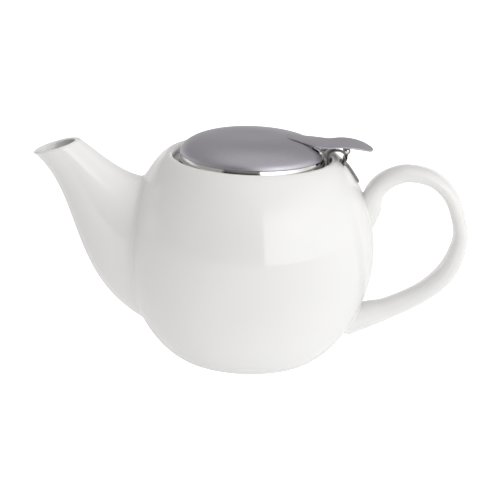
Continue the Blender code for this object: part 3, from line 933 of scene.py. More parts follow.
@dataclass
class Handle:
    """Ear-shaped handle with flared roots and a squarish section."""

    pot: Pot
    high: Vector = field(default_factory=lambda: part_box("handle")[1])
    thick: float = 7.3 * MM
    wide: float = 17.0 * MM
    top: float = 99.0 * MM              # highest point of its middle line
    upper_root: float = 80.2 * MM
    lower_root: float = 21.0 * MM
    squareness: float = 2.6
    fillet: float = 1.3 * MM
    bulge: float = 0.45 * MM            # how far its side stands out past the stations
    columns: int = 56
    rows: int = 60

    def stations(self) -> list[tuple[float, float, float, float]]:
        """Rows of x, z, thickness and width, from the upper root to the lower."""
        out = self.high.x - self.bulge - self.thick / 2.0
        root, top = self.pot.belly_radius, self.top
        upper, lower = self.upper_root, self.lower_root
        shape = [
            (root - 9.4 * MM, upper - 10.2 * MM, 6.7, 3.0),
            (root - 3.4 * MM, upper + 0.3 * MM, 4.2, 2.0),
            (root - 1.5 * MM, upper + 7.8 * MM, 2.0, 1.0),
            (root + 2.0 * MM, top - 6.0 * MM, 1.6, 0.0),
            (root + 7.8 * MM, top - 2.0 * MM, 0.9, 0.0),
            (root + 16.0 * MM, top, 0.3, 0.0),
            (out - 14.2 * MM, top - 2.8 * MM, 0.1, 0.0),
            (out - 5.1 * MM, top - 11.9 * MM, -0.1, 0.0),
            (out - 0.1 * MM, top - 27.0 * MM, 0.0, 0.0),
            (out - 0.6 * MM, top - 37.8 * MM, 0.7, 0.0),
            (out - 6.2 * MM, top - 50.7 * MM, 1.9, 0.0),
            (out - 17.8 * MM, lower + 16.6 * MM, 1.3, 0.0),
            (root + 8.2 * MM, lower + 8.0 * MM, 1.7, 1.0),
            (root - 0.2 * MM, lower + 5.0 * MM, 3.7, 3.0),
            (root - 13.0 * MM, lower + 0.6 * MM, 6.0, 6.0),
        ]
        return [(x, z, self.thick + more * MM, self.wide + wider * MM) for x, z, more, wider in shape]

    def middle(self, place: float) -> Vector:
        """Middle of the handle at a place, counted in stations."""
        x, z, _, _ = catmull(self.stations(), place)
        return Vector((x, 0.0, z))

    def point(self, place: float, turn: float) -> Vector:
        """A point on the handle's surface.

        Args:
            place: position along it, counted in stations.
            turn: angle round its section, 90 degrees on the outer face.

        Returns:
            The point.
        """
        stations = self.stations()
        last = len(stations) - 1
        x, z, thickness, width = catmull(stations, place)
        small = 0.05
        before = catmull(stations, max(place - small, 0.0))
        after = catmull(stations, min(place + small, last))
        run = Vector((after[0] - before[0], after[1] - before[1])).normalized()
        power = 2.0 / self.squareness
        c, s = math.cos(turn), math.sin(turn)
        out = thickness / 2.0 * math.copysign(abs(s) ** power, s)
        side = width / 2.0 * math.copysign(abs(c) ** power, c)
        return Vector((x - run.y * out, side, z + run.x * out))

    def build(self) -> bpy.types.Object:
        """Make the handle, each end led into the body."""
        count = len(self.stations()) - 1
        half = count / 2.0
        columns = []
        for j in range(self.columns):
            turn = 2.0 * math.pi * (j + 0.5) / self.columns
            up = run_onto(self.pot, lambda p: self.point(p, turn), self.middle, half, 0.0, self.fillet,
                          self.rows)
            down = run_onto(self.pot, lambda p: self.point(p, turn), self.middle, half, float(count),
                            self.fillet, self.rows)
            columns.append(up[::-1] + down[1:])
        rows = [[column[i] for column in columns] for i in range(len(columns[0]))]
        obj = new_object("porcelain_handle", skinned("porcelain_handle", rows, closed=False))
        return piece(obj, PORCELAIN, Body.POT, ["handle"], sharp=60.0)


# ---- the infuser ------------------------------------------------------------
class Form(Enum):
    """Forms that perforated sheet comes in."""

    WALL = "wall"
    FLOOR = "floor"


@dataclass
class PerforatedSheet:
    """Sheet with rows of round holes, rolled into a wall or cut to a disc by Geometry Nodes."""

    form: Form
    radius: float
    height: float = 0.0
    pitch: float = 2.5 * MM
    hole: float = 0.62 * MM
    thickness: float = 0.6 * MM

    def tree(self) -> bpy.types.NodeTree:
        """The node tree that punches, rolls and thickens the sheet.

        Returns:
            The tree, whose named inputs are the sheet's sizes.
        """
        group = bpy.data.node_groups.new("perforated " + self.form.value, "GeometryNodeTree")
        face = group.interface
        face.new_socket("Geometry", in_out="OUTPUT", socket_type="NodeSocketGeometry")
        for label, kind in (("Radius", "NodeSocketFloat"), ("Pitch", "NodeSocketFloat"),
                            ("Row Pitch", "NodeSocketFloat"), ("Hole", "NodeSocketFloat"),
                            ("Thickness", "NodeSocketFloat"), ("Columns", "NodeSocketInt"),
                            ("Rows", "NodeSocketInt"), ("Band", "NodeSocketFloat"),
                            ("Material", "NodeSocketMaterial")):
            face.new_socket(label, in_out="INPUT", socket_type=kind)
        tree = Tree(group)
        size = tree.add("NodeGroupInput").outputs
        flat = self.punched(tree, size)
        shaped = self.rolled(tree, size, flat) if self.form is Form.WALL else flat
        up = tree.add("GeometryNodeExtrudeMesh", {"Mesh": shaped, "Offset Scale": size["Thickness"],
                                                  "Individual": False}, mode="FACES")
        back = tree.add("GeometryNodeFlipFaces", {"Mesh": shaped})
        both = tree.add("GeometryNodeJoinGeometry")
        tree.tree.links.new(up.outputs["Mesh"], both.inputs[0])
        tree.tree.links.new(back.outputs[0], both.inputs[0])
        solid = tree.add("GeometryNodeMergeByDistance",
                         {"Geometry": both.outputs[0], "Distance": 0.01 * MM})
        real = tree.add("GeometryNodeRealizeInstances", {"Geometry": solid.outputs[0]})
        dressed = tree.add("GeometryNodeSetMaterial", {"Geometry": real.outputs[0],
                                                       "Material": size["Material"]})
        tree.tree.links.new(dressed.outputs[0], tree.add("NodeGroupOutput").inputs[0])
        return group

    @staticmethod
    def tile(tree: Tree, size: bpy.types.bpy_prop_collection) -> Socket:
        """One square of sheet with a round hole.

        Args:
            tree: the tree that is being built.
            size: the group's inputs.

        Returns:
            The tile's mesh.
        """
        circle = tree.add("GeometryNodeMeshCircle", {"Vertices": 8, "Radius": size["Hole"]})
        rim = tree.add("GeometryNodeExtrudeMesh", {"Mesh": circle.outputs[0], "Offset Scale": 0.0},
                       mode="EDGES")
        spot = tree.add("GeometryNodeInputPosition").outputs[0]
        axes = tree.add("ShaderNodeSeparateXYZ", {0: spot})
        x, y = axes.outputs["X"], axes.outputs["Y"]
        longest = tree.math("MAXIMUM", tree.math("ABSOLUTE", x), tree.math("ABSOLUTE", y))
        half_pitch = tree.math("MULTIPLY", size["Pitch"], 0.5)
        wide = tree.math("MULTIPLY", tree.math("DIVIDE", x, longest), half_pitch)
        tall = tree.math("MULTIPLY", tree.math("DIVIDE", y, longest),
                         tree.math("MULTIPLY", size["Row Pitch"], 0.5))
        corner = tree.add("ShaderNodeCombineXYZ", {"X": wide, "Y": tall})
        squared = tree.add("GeometryNodeSetPosition", {"Geometry": rim.outputs["Mesh"],
                                                       "Selection": rim.outputs["Top"],
                                                       "Position": corner.outputs[0]})
        return squared.outputs[0]

    def punched(self, tree: Tree, size: bpy.types.bpy_prop_collection) -> Socket:
        """The flat sheet: staggered rows of tiles, cut to a disc for a floor.

        Args:
            tree: the tree that is being built.
            size: the group's inputs.

        Returns:
            The flat sheet's mesh.
        """
        wide = tree.math("MULTIPLY", size["Pitch"], tree.math("SUBTRACT", size["Columns"], 1.0))
        tall = tree.math("MULTIPLY", size["Row Pitch"], tree.math("SUBTRACT", size["Rows"], 1.0))
        grid = tree.add("GeometryNodeMeshGrid", {"Size X": wide, "Size Y": tall,
                                                 "Vertices X": size["Columns"],
                                                 "Vertices Y": size["Rows"]})
        spot = tree.add("GeometryNodeInputPosition").outputs[0]
        axes = tree.add("ShaderNodeSeparateXYZ", {0: spot})
        row = tree.math("DIVIDE", tree.math("ADD", axes.outputs["Y"], tree.math("MULTIPLY", tall, 0.5)),
                        size["Row Pitch"])
        odd = tree.math("MODULO", tree.math("ROUND", row), 2.0)
        shift = tree.math("MULTIPLY", odd, tree.math("MULTIPLY", size["Pitch"], 0.5))
        moved = tree.add("GeometryNodeSetPosition", {"Geometry": grid.outputs["Mesh"],
                                                     "Offset": tree.add("ShaderNodeCombineXYZ",
                                                                        {"X": shift}).outputs[0]})
        points = moved.outputs[0]
        if self.form is Form.FLOOR:
            far = tree.add("ShaderNodeVectorMath", {0: spot}, operation="LENGTH").outputs["Value"]
            beyond = tree.add("FunctionNodeCompare", {"A": far, "B": tree.math(
                "SUBTRACT", size["Radius"], size["Band"])}, data_type="FLOAT", operation="GREATER_THAN")
            kept = tree.add("GeometryNodeDeleteGeometry", {"Geometry": points,
                                                           "Selection": beyond.outputs["Result"]},
                            domain="POINT")
            points = kept.outputs[0]
        tiles = tree.add("GeometryNodeInstanceOnPoints", {"Points": points,
                                                          "Instance": self.tile(tree, size)})
        real = tree.add("GeometryNodeRealizeInstances", {"Geometry": tiles.outputs[0]})
        merged = tree.add("GeometryNodeMergeByDistance", {"Geometry": real.outputs[0],
                                                          "Distance": 0.01 * MM})
        return merged.outputs[0]

    @staticmethod
    def rolled(tree: Tree, size: bpy.types.bpy_prop_collection, flat: Socket) -> Socket:
        """The sheet between two plain bands, rolled to its radius.

        Args:
            tree: the tree that is being built.
            size: the group's inputs.
            flat: the punched sheet.

        Returns:
            The rolled sheet.
        """
        wide = tree.math("MULTIPLY", size["Pitch"], size["Columns"])
        tall = tree.math("MULTIPLY", size["Row Pitch"], size["Rows"])
        spans = tree.math("ADD", tree.math("MULTIPLY", size["Columns"], 2.0), 1.0)
        joined_up = tree.add("GeometryNodeJoinGeometry")
        tree.tree.links.new(flat, joined_up.inputs[0])
        for side in (-0.5, 0.5):
            band = tree.add("GeometryNodeMeshGrid", {"Size X": wide, "Size Y": size["Band"],
                                                     "Vertices X": spans, "Vertices Y": 2})
            middle = tree.math("MULTIPLY", tree.math("ADD", tall, size["Band"]), side)
            moved = tree.add("GeometryNodeSetPosition", {
                "Geometry": band.outputs["Mesh"],
                "Offset": tree.add("ShaderNodeCombineXYZ", {"Y": middle}).outputs[0]})
            tree.tree.links.new(moved.outputs[0], joined_up.inputs[0])
        spot = tree.add("GeometryNodeInputPosition").outputs[0]
        axes = tree.add("ShaderNodeSeparateXYZ", {0: spot})
        turn = tree.math("DIVIDE", axes.outputs["X"], size["Radius"])
        round_x = tree.math("MULTIPLY", tree.math("SINE", turn), size["Radius"])
        towards_front = tree.math("MULTIPLY", size["Radius"], -1.0)
        round_y = tree.math("MULTIPLY", tree.math("COSINE", turn), towards_front)
        rolled = tree.add("ShaderNodeCombineXYZ", {"X": round_x, "Y": round_y, "Z": axes.outputs["Y"]})
        bent = tree.add("GeometryNodeSetPosition", {"Geometry": joined_up.outputs[0],
                                                    "Position": rolled.outputs[0]})
        return tree.add("GeometryNodeMergeByDistance", {"Geometry": bent.outputs[0],
                                                        "Distance": 0.02 * MM}).outputs[0]

    def sizes(self) -> dict[str, object]:
        """What each of the tree's inputs is set to."""
        if self.form is Form.WALL:
            columns = round(2.0 * math.pi * self.radius / self.pitch)
            pitch = 2.0 * math.pi * self.radius / columns
            rows = int((self.height - 8.0 * MM) / (0.866 * self.pitch))
            band = (self.height - rows * 0.866 * self.pitch) / 2.0
        else:
            columns = rows = 2 * round(self.radius / self.pitch) + 3
            pitch, band = self.pitch, 2.2 * MM
        return {"Radius": self.radius, "Pitch": pitch, "Row Pitch": 0.866 * self.pitch, "Hole": self.hole,
                "Thickness": self.thickness, "Columns": columns, "Rows": rows, "Band": band,
                "Material": PERFORATED.material()}

    def build(self, name: str, height: float) -> bpy.types.Object:
        """Make the sheet as a plain mesh.

        Args:
            name: of the object.
            height: where its middle goes.

        Returns:
            The object.
        """
        obj = new_object(name, bpy.data.meshes.new(name))
        tree = self.tree()
        nodes = obj.modifiers.new("perforations", "NODES")
        nodes.node_group = tree
        values = self.sizes()
        for item in tree.interface.items_tree:
            if item.item_type == "SOCKET" and item.in_out == "INPUT":
                nodes[item.identifier] = values[item.name]
        settled(obj)
        obj.data.transform(Matrix.Translation((0.0, 0.0, height)))
        return obj


@dataclass
class Infuser:
    """Steel collar, perforated basket, and the clip and pin that carry the lid."""

    pot: Pot
    bore: float = 35.4 * MM
    basket_sheet: float = 0.6 * MM
    collar_top: float = field(default_factory=lambda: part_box("collar")[1].z)
    collar_low: float = field(default_factory=lambda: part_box("collar")[0].z)
    collar_out: float = field(default_factory=lambda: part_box("collar")[1].x)
    wall_low: Vector = field(default_factory=lambda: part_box("basket_wall")[0])
    wall_high: Vector = field(default_factory=lambda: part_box("basket_wall")[1])
    pin_low: Vector = field(default_factory=lambda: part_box("hinge_pin")[0])
    pin_high: Vector = field(default_factory=lambda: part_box("hinge_pin")[1])
    half: float = 7.0 * MM              # half the clip's width
    leaf_half: float = 4.0 * MM
    knuckle: float = 1.8 * MM
    arch: float = 5.0 * MM
    pin_radius: float = 0.7 * MM
    tongue: float = 10.5 * MM
    tongue_half: float = 1.7 * MM

    def __post_init__(self) -> None:
        """Work out the pin's place."""
        middle = (self.pin_low + self.pin_high) / 2.0
        self.pin: Point2 = (middle.x, middle.z)

    def collar(self) -> None:
        """The ring that hangs on the pot's ledge, with its spigot."""
        spigot = self.bore - CLEARANCE
        inner = spigot - SHEET
        top, under, low = self.collar_top, self.collar_top - SHEET, self.collar_low
        corners = [(inner, top), (self.collar_out, top), (self.collar_out, under), (spigot, under),
                   (spigot, low), (inner, low)]
        mesh = turned("infuser_collar", eased(corners, 0.35 * MM, closed=True), ring=True)
        piece(new_object("infuser_collar", mesh), SATIN, Body.INFUSER, ["collar"])

    def basket(self) -> None:
        """Perforated wall and floor, and the hoop that binds them."""
        outer = self.wall_high.x
        inner = outer - self.basket_sheet
        low, high = self.wall_low.z, self.wall_high.z
        wall = PerforatedSheet(Form.WALL, inner, high - low, thickness=self.basket_sheet)
        piece(wall.build("basket_wall_mesh", (low + high) / 2.0), PERFORATED, Body.INFUSER,
              ["basket_wall"], sharp=50.0)
        reach = inner - CLEARANCE
        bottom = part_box("basket_floor")[0].z
        floor = PerforatedSheet(Form.FLOOR, reach, thickness=self.basket_sheet)
        sheet = floor.build("basket_floor_mesh", bottom)
        ring = turned("floor rim", eased([
            (reach - 4.4 * MM, bottom + 0.05 * MM), (reach, bottom + 0.05 * MM),
            (reach, bottom + self.basket_sheet - 0.05 * MM),
            (reach - 4.4 * MM, bottom + self.basket_sheet - 0.05 * MM)], 0.1 * MM, closed=True), ring=True)
        sheet.data = joined("basket_floor_mesh", [sheet.data, ring])
        piece(sheet, PERFORATED, Body.INFUSER, ["basket_floor"], sharp=50.0)
        hoop_low, hoop_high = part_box("basket_hoop")
        start, out = outer + CLEARANCE, hoop_high.x
        shelf = inner - 2.5 * MM
        corners = [(start, hoop_high.z), (out, hoop_high.z), (out, hoop_low.z), (shelf, hoop_low.z),
                   (shelf, hoop_low.z + SHEET), (start, hoop_low.z + SHEET)]
        mesh = turned("basket_bottom_hoop", eased(corners, 0.3 * MM, closed=True), ring=True)
        piece(new_object("basket_bottom_hoop", mesh), SATIN, Body.INFUSER, ["basket_hoop"])

    def clip_lines(self) -> tuple[list[Point2], list[Point2], list[Point2]]:
        """Middle lines of the clip: leg and arch, tongue, and an ear that curls round the pin."""
        half = SHEET / 2.0
        centre = (self.pot.lip_radius + 0.5 * MM, self.pot.height + 0.2 * MM)
        middle = self.arch - half
        foot = self.collar_top + CLEARANCE
        leg = [(centre[0] - middle, foot + (centre[1] - foot) * i / 3.0) for i in range(3)]
        over = leg + arc(centre, middle, 180.0, 8.0, 24)
        first = self.pot.height - 1.6 * MM
        down = []
        for i in range(13):
            height = first - self.tongue * i / 12.0
            down.append((self.pot.radius(height) + 0.35 * MM + half, height))
        curl = self.knuckle - half
        ear = arc(centre, middle, 6.0, 16.0, 1)
        ear += arc(self.pin, curl, -70.0, 235.0, 26)
        return over, down, ear

    def saddle(self) -> None:
        """The clip over the lip, with an ear each side that curls round the pin."""
        over, down, ear = self.clip_lines()
        room = self.leaf_half + CLEARANCE
        short = [point for point in over if point[0] < self.pot.lip_radius]
        slim = self.tongue_half
        parts = [pressed("leg", short, -room, room), pressed("tongue", over[-4:] + down, -slim, slim)]
        for low, high in ((-self.half, -room), (room, self.half)):
            parts.append(pressed("arch side", over, low, high))
            parts.append(pressed("ear", ear, low, high))
        parts.append(pressed("bridge", over[-5:] + down[:2], -self.half, self.half))
        obj = new_object("lip_saddle_clip", joined("lip_saddle_clip", parts))
        with_edges(obj, 0.12 * MM)
        # The clip gets steel darkened as painted shade, for the shadow and dark reflection under the tab.
        piece(obj, CLIP_PAINTED_SHADE, Body.INFUSER, ["saddle_clip"])

    def hinge_pin(self) -> None:
        """The pin, with a domed head at each end."""
        low, high = self.pin_low.y, self.pin_high.y
        head = self.pin_high.z - self.pin[1]
        neck = self.half + CLEARANCE
        crown = [(0.0, 0.0), (0.55 * head, 0.05 * MM), (0.9 * head, 0.25 * MM), (head, 0.5 * MM)]
        profile = [(radius, high - depth) for radius, depth in crown]
        profile += [(head, neck), (self.pin_radius, neck), (self.pin_radius, -neck), (head, -neck)]
        profile += [(radius, low + depth) for radius, depth in crown[::-1]]
        mesh = turned("lid_hinge_pin", profile, steps=32)
        mesh.transform(Matrix.Translation((self.pin[0], 0.0, self.pin[1]))
                       @ Matrix.Rotation(-math.pi / 2.0, 4, "X"))
        piece(new_object("lid_hinge_pin", mesh), POLISHED, Body.INFUSER, ["hinge_pin"])

    def build(self) -> None:
        """Make every piece of the infuser."""
        self.collar()
        self.basket()
        self.saddle()
        self.hinge_pin()


# ---- the lid ----------------------------------------------------------------
@dataclass
class Lid:
    """Brushed dome with its thumb tab, polished inner lid, and hinge leaf."""

    infuser: Infuser
    rim: float = field(default_factory=lambda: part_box("lid_dome")[0].z)
    top: float = field(default_factory=lambda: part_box("lid_dome")[1].z)
    radius: float = field(default_factory=lambda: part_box("lid_dome")[1].y)
    reach: float = field(default_factory=lambda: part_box("lid_dome")[1].x)
    fullness: float = 3.6               # how flat the dome's middle is
    roundness: float = 1.7              # how round its edge is
    tab_half: float = 10.0 * MM
    root_half: float = 1.5 * MM         # half the tab's width where its slits begin
    widening: float = 14.0 * MM         # length over which it reaches its full width
    slit: float = 0.8 * MM
    slit_start: float = 16.6 * MM
    notch: float = 24.8 * MM            # from here on the tab leaves the dome's curve
    lift: float = 0.5 * MM              # how far it stands over the dome there
    liner_drop: float = 1.0 * MM
    bead: float = 0.5 * MM
    flare: float = 0.6 * MM             # how much wider the skirt is at its foot

    def dome_height(self, radius: float) -> float:
        """Top of the dome at a distance from its middle."""
        share = min(radius / self.radius, 1.0)
        return self.rim + (self.top - self.rim) * (1.0 - share ** self.fullness) ** (1.0 / self.roundness)

    def tab_height(self, x: float) -> float:
        """Top of the thumb tab along its middle."""
        pin_x, pin_z = self.infuser.pin
        crown = pin_z + self.infuser.knuckle + CLEARANCE + SHEET
        rise = ((self.slit_start - 4.0 * MM, 0.0), (self.slit_start, 0.0),
                (0.5 * (self.slit_start + self.notch), 0.7 * self.lift), (self.notch, self.lift))
        line = [(place, self.dome_height(place) + more) for place, more in rise]
        line += [((self.notch + pin_x) / 2.0, crown - 0.4 * MM), (pin_x - 7.6 * MM, crown - 0.6 * MM),
                 (pin_x - 1.4 * MM, crown), (pin_x + 6.6 * MM, crown - 1.0 * MM),
                 (self.reach, crown - 3.1 * MM)]
        places = np.linspace(0.0, len(line) - 1.0, 160)
        rows = np.array([catmull(line, place) for place in places])
        return float(np.interp(x, rows[:, 0], rows[:, 1]))

    def tab_point(self, x: float, y: float) -> Vector:
        """A point on the tab's top, whose curl across fades towards the pin."""
        bend = min(x, self.notch)
        fall = self.dome_height(bend) - self.dome_height(math.hypot(bend, y))
        flat = (x - self.notch) / (self.infuser.pin[0] - 6.0 * MM - self.notch)
        flat = min(max(flat, 0.0), 1.0)
        return Vector((x, y, self.tab_height(x) - fall * (1.0 - flat * flat * (3.0 - 2.0 * flat))))

    def dome_point(self, x: float, y: float) -> Vector:
        """A point on the dome's top."""
        return Vector((x, y, self.dome_height(math.hypot(x, y))))

    def tab_width(self, x: float) -> float:
        """Half the tab's width: narrow at its root, rounded at its end."""
        taper = self.infuser.pin[0] + 1.0 * MM
        share = max(x - taper, 0.0) / (self.reach - taper)
        opened = math.sqrt(min(max(x - self.slit_start, 0.0) / self.widening, 1.0))
        half = self.root_half + (self.tab_half - self.root_half) * opened
        return half * math.sqrt(max(1.0 - share * share, 0.0))

    def to_rim(self, x: float, y: float) -> float:
        """Distance from the root of the tab to the rim in the direction (x, y)."""
        along = self.slit_start * x
        return -along + math.sqrt(along * along + self.radius ** 2 - self.slit_start ** 2)

    def dome_faces(self) -> tuple[list[Vector], list[list[int]]]:
        """The dome's and the tab's top as one sheet, slit along both sides of the tab."""
        side = self.root_half + self.slit
        near, far = 8, 30
        points: list[Vector] = []
        faces: list[list[int]] = []

        def grid(rows: list[list[Vector]]) -> None:
            """Add a grid of points and its faces."""
            first = len(points)
            width = len(rows[0])
            for row in rows:
                points.extend(row)
            for i in range(len(rows) - 1):
                for j in range(width - 1):
                    a = first + i * width + j
                    faces.append([a, a + 1, a + width + 1, a + width])

        def ray(x: float, y: float, start: float) -> list[Vector]:
            """Points on the dome from a start to the rim, closer towards the rim."""
            end = self.to_rim(x, y)
            places = [start + (end - start) * (1.0 - (1.0 - k / far) ** 2) for k in range(far + 1)]
            return [self.dome_point(self.slit_start + x * s, y * s) for s in places]

        fan = [math.pi / 2.0 + math.pi * i / 96.0 for i in range(97)]
        steps = [side * k / near for k in range(near + 1)]
        grid([[self.dome_point(self.slit_start + math.cos(a) * step, math.sin(a) * step) for step in steps]
              for a in fan])
        grid([ray(math.cos(a), math.sin(a), side) for a in fan])
        widest = self.tab_half + 0.4 * self.slit
        corner = math.sqrt(self.radius ** 2 - widest ** 2) - self.slit_start
        for sign in (-1.0, 1.0):
            rows = []
            for i in range(61):
                along = corner * (i / 60.0) ** 1.7
                across = min(self.tab_width(self.slit_start + along) + self.slit, widest)
                start = math.hypot(along, across)
                rows.append(ray(along / start, sign * across / start, start))
            grid(rows)
        rows = [[self.dome_point(self.slit_start, side * k / near) for k in range(-near, near + 1)]]
        count = 90
        for i in range(count + 1):
            share = i / count
            x = self.slit_start + 0.35 * MM
            x += (self.reach - 0.15 * MM - x) * (1.45 * share - 0.45 * share ** 3)
            half = self.tab_width(x)
            rows.append([self.tab_point(x, half * k / near) for k in range(-near, near + 1)])
        grid(rows)
        return points, faces

    def dome(self) -> None:
        """Thicken the dome and tab to sheet and break their edges."""
        points, faces = self.dome_faces()
        mesh = mesh_of("lid_dome_and_tab", points, faces, weld=0.005 * MM)
        if sum(face.normal.z * face.area for face in mesh.polygons) < 0.0:
            mesh.flip_normals()
        obj = new_object("lid_dome_and_tab", mesh)
        wall = obj.modifiers.new("sheet", "SOLIDIFY")
        wall.thickness = SHEET
        wall.offset = -1.0
        with_edges(obj, 0.16 * MM, limit=60.0)
        piece(obj, BRUSHED, Body.LID, ["lid_dome"])

    def liner_height(self, radius: float) -> float:
        """Top of the polished inner lid."""
        share = radius / (self.radius - SHEET - CLEARANCE)
        rise = self.top - self.rim - SHEET - CLEARANCE - self.liner_drop
        fall = min(share, 1.0) ** self.fullness
        return self.rim - CLEARANCE + rise * (1.0 - fall) ** (1.0 / self.roundness)

    def liner(self) -> None:
        """The polished inner lid: low dome, upright skirt, and a bead round its foot."""
        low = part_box("lid_liner")[0].z
        skirt = self.radius - 0.2 * MM
        reach = self.radius - SHEET - CLEARANCE
        shares = [1.0 - (1.0 - i / 28.0) ** 2 for i in range(29)]
        crown = [(reach * share, self.liner_height(reach * share)) for share in shares]
        inner = [((reach - SHEET) * share, z - SHEET) for share, (_, z) in zip(shares, crown)]
        shelf = self.rim - CLEARANCE
        bead = arc((skirt, low + self.bead), self.bead, 90.0, -90.0, 8)
        upright = [(skirt - self.flare, shelf), (skirt - 0.05 * MM, low + 2.4 * self.bead)]
        edge = eased([crown[-1], *upright, bead[0]], 0.3 * MM, closed=False)
        inside = [(skirt - SHEET, low + 0.2 * MM), (skirt - self.flare - SHEET, shelf - SHEET)]
        mesh = turned("lid_polished_liner", crown + edge[1:-1] + bead + inside + inner[::-1])
        piece(new_object("lid_polished_liner", mesh), POLISHED, Body.LID, ["lid_liner"])

    def leaf(self) -> None:
        """The hinge leaf: from the inner lid's shoulder up and round the pin."""
        half = SHEET / 2.0
        pin_x, pin_z = self.infuser.pin
        curl = self.infuser.knuckle - half
        start = self.radius - 6.0 * MM
        edge = self.radius - 2.2 * MM
        rest = CLEARANCE + half + 0.2 * MM
        knots = [(start, self.liner_height(start) + rest),
                 ((start + edge) / 2.0, self.liner_height((start + edge) / 2.0) + rest),
                 (edge, self.liner_height(edge) + rest + 0.3 * MM),
                 (self.radius + 2.6 * MM, pin_z + curl - 1.2 * MM),
                 (pin_x - 3.0 * MM, pin_z + curl - 0.1 * MM), (pin_x - 0.2 * MM, pin_z + curl)]
        line = fair_curve(knots, 6) + arc(self.infuser.pin, curl, 88.0, -205.0, 26)
        width = self.infuser.leaf_half
        obj = new_object("lid_hinge_leaf", pressed("lid_hinge_leaf", line, -width, width))
        with_edges(obj, 0.12 * MM)
        piece(obj, SATIN, Body.LID, ["hinge_leaf"])

    def build(self) -> None:
        """Make every piece of the lid."""
        self.dome()
        self.liner()
        self.leaf()


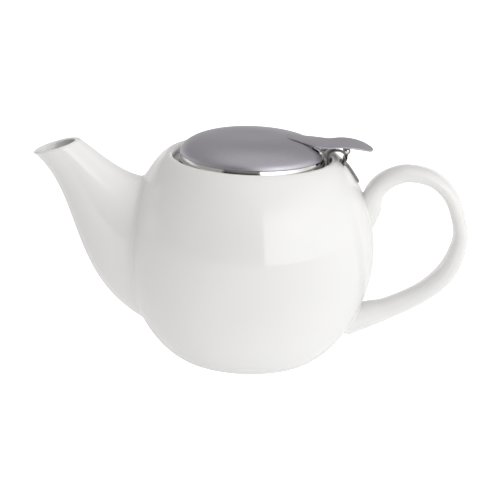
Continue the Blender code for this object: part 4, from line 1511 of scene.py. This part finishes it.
# ---- studio -----------------------------------------------------------------
@dataclass
class Studio:
    """Floor, light and camera."""

    target: Vector = field(default_factory=lambda: Vector((0.0, 0.0, 55.0 * MM)))
    elevation: float = 16.3
    roll: float = 1.95
    distance: float = 1.3
    field_width: float = 0.25
    aside: float = 0.55 * MM
    above: float = 1.55 * MM
    floor_glow: float = 0.36            # light the table gives to everything
    floor_white: float = 0.45           # what makes it white to the camera

    def camera(self) -> None:
        """A long lens from the front, a little above the teapot."""
        tilt, roll = math.radians(self.elevation), math.radians(self.roll)
        back = Vector((0.0, -math.cos(tilt), math.sin(tilt)))
        level, upright = Vector((1.0, 0.0, 0.0)), Vector((0.0, math.sin(tilt), math.cos(tilt)))
        right = level * math.cos(roll) + upright * math.sin(roll)
        up = upright * math.cos(roll) - level * math.sin(roll)
        data = bpy.data.cameras.new("camera")
        data.sensor_width = 36.0
        data.lens = data.sensor_width * self.distance / self.field_width
        camera = bpy.data.objects.new("camera", data)
        bpy.context.scene.collection.objects.link(camera)
        place = self.target + back * self.distance + right * self.aside + up * self.above
        turn = Matrix((right, up, back)).transposed().to_4x4()
        camera.matrix_world = Matrix.Translation(place) @ turn
        bpy.context.scene.camera = camera

    @staticmethod
    def softbox(name: str, azimuth: float, height: float, distance: float, wide: float, tall: float,
                brightness: float, mirrored: bool) -> None:
        """A rectangular light that faces the teapot.

        Args:
            name: of the light.
            azimuth: degrees from the camera's side towards the handle.
            height: of its middle.
            distance: from the teapot's axis.
            wide: its width.
            tall: its height.
            brightness: how bright its face looks.
            mirrored: whether shiny surfaces show it.
        """
        data = bpy.data.lights.new(name, "AREA")
        data.shape = "RECTANGLE"
        data.size, data.size_y = wide, tall
        data.energy = brightness * math.pi * wide * tall
        lamp = bpy.data.objects.new(name, data)
        bpy.context.scene.collection.objects.link(lamp)
        turn = math.radians(azimuth)
        place = Vector((math.sin(turn) * distance, -math.cos(turn) * distance, height))
        lamp.location = place
        lamp.rotation_euler = (place - Vector((0.0, 0.0, 0.06))).to_track_quat("Z", "Y").to_euler()
        lamp.visible_camera = False
        lamp.visible_glossy = mirrored

    @staticmethod
    def world() -> None:
        """Grey surroundings, dark on the camera's side, that look white behind the teapot."""
        world = bpy.data.worlds.new("studio")
        world.use_nodes = True
        bpy.context.scene.world = world
        tree = Tree(world.node_tree)
        background = world.node_tree.nodes["Background"]
        look = tree.add("ShaderNodeTexCoord").outputs["Generated"]
        axes = tree.add("ShaderNodeSeparateXYZ", {0: look}).outputs
        turn = tree.math("ARCTAN2", axes["X"], tree.math("MULTIPLY", axes["Y"], -1.0))
        aside = tree.math("ABSOLUTE", tree.math("ADD", turn, math.radians(17.0)))
        sector = tree.mapped(aside, math.radians(34.0), math.radians(27.0))
        low = tree.mapped(axes["Z"], 0.60, 0.30)
        grey = tree.mixed(tree.math("MULTIPLY", sector, low), (0.44, 0.43, 0.42, 1.0),
                          (0.05, 0.045, 0.045, 1.0))
        screen = tree.math("MULTIPLY", tree.mapped(turn, math.radians(13.0), math.radians(16.0)),
                           tree.mapped(turn, math.radians(126.0), math.radians(108.0)))
        tall = tree.mapped(axes["Z"], 0.80, 0.45)
        fading = tree.mixed(tree.mapped(turn, math.radians(30.0), math.radians(105.0)),
                            (2.40, 2.40, 2.38, 1.0), (0.90, 0.90, 0.89, 1.0))
        grey = tree.mixed(tree.math("MULTIPLY", screen, tall), grey, fading)
        behind = tree.math("MULTIPLY", tree.mapped(axes["Y"], -0.1, 0.3),
                           tree.mapped(axes["Z"], 0.24, 0.10))
        grey = tree.mixed(behind, grey, (1.0, 1.0, 1.0, 1.0))
        direct = tree.add("ShaderNodeLightPath").outputs["Is Camera Ray"]
        tree.tree.links.new(tree.mixed(direct, grey, (1.0, 1.0, 1.0, 1.0)), background.inputs["Color"])

    def floor(self) -> None:
        """A plain white table top that runs out of sight."""
        mesh = turned("floor", [(0.0, 0.0), (6.0, 0.0), (6.0, -0.02), (0.0, -0.02)], steps=64)
        floor = new_object("floor", mesh)
        white = bpy.data.materials.new("white table")
        white.use_nodes = True
        shader = white.node_tree.nodes["Principled BSDF"]
        tree = Tree(white.node_tree)
        place = tree.add("ShaderNodeTexCoord").outputs["Object"]
        noise = tree.add("ShaderNodeTexNoise", {"Vector": place, "Scale": 3.0})
        tone = tree.mixed(noise.outputs["Fac"], (0.72, 0.72, 0.72, 1.0), (0.74, 0.74, 0.74, 1.0))
        tree.tree.links.new(tone, shader.inputs["Base Color"])
        shader.inputs["Roughness"].default_value = 0.9
        shader.inputs["Specular IOR Level"].default_value = 0.0
        shader.inputs["Emission Color"].default_value = (1.0, 1.0, 1.0, 1.0)
        direct = tree.add("ShaderNodeLightPath").outputs["Is Camera Ray"]
        glow = tree.math("MULTIPLY_ADD", direct, self.floor_white, self.floor_glow)
        tree.tree.links.new(glow, shader.inputs["Emission Strength"])
        mesh.materials.append(white)

    def build(self) -> None:
        """Set up the whole studio."""
        self.camera()
        self.world()
        self.floor()
        self.softbox("top softbox", 60.0, 1.5, 0.10, 2.2, 1.8, 0.28, mirrored=True)
        self.softbox("overhead fill", 60.0, 1.4, 0.30, 1.5, 1.3, 0.60, mirrored=False)
        bpy.context.scene.view_settings.view_transform = "Standard"


def main() -> None:
    """Build the teapot on its frame, then the studio round it."""
    logging.basicConfig(level=logging.INFO, format="%(name)s: %(message)s")
    pot = Pot()
    pot.build()
    Spout(pot).build()
    Handle(pot).build()
    infuser = Infuser(pot)
    infuser.build()
    Lid(infuser).build()
    Studio().build()


if __name__ == "__main__":
    main()
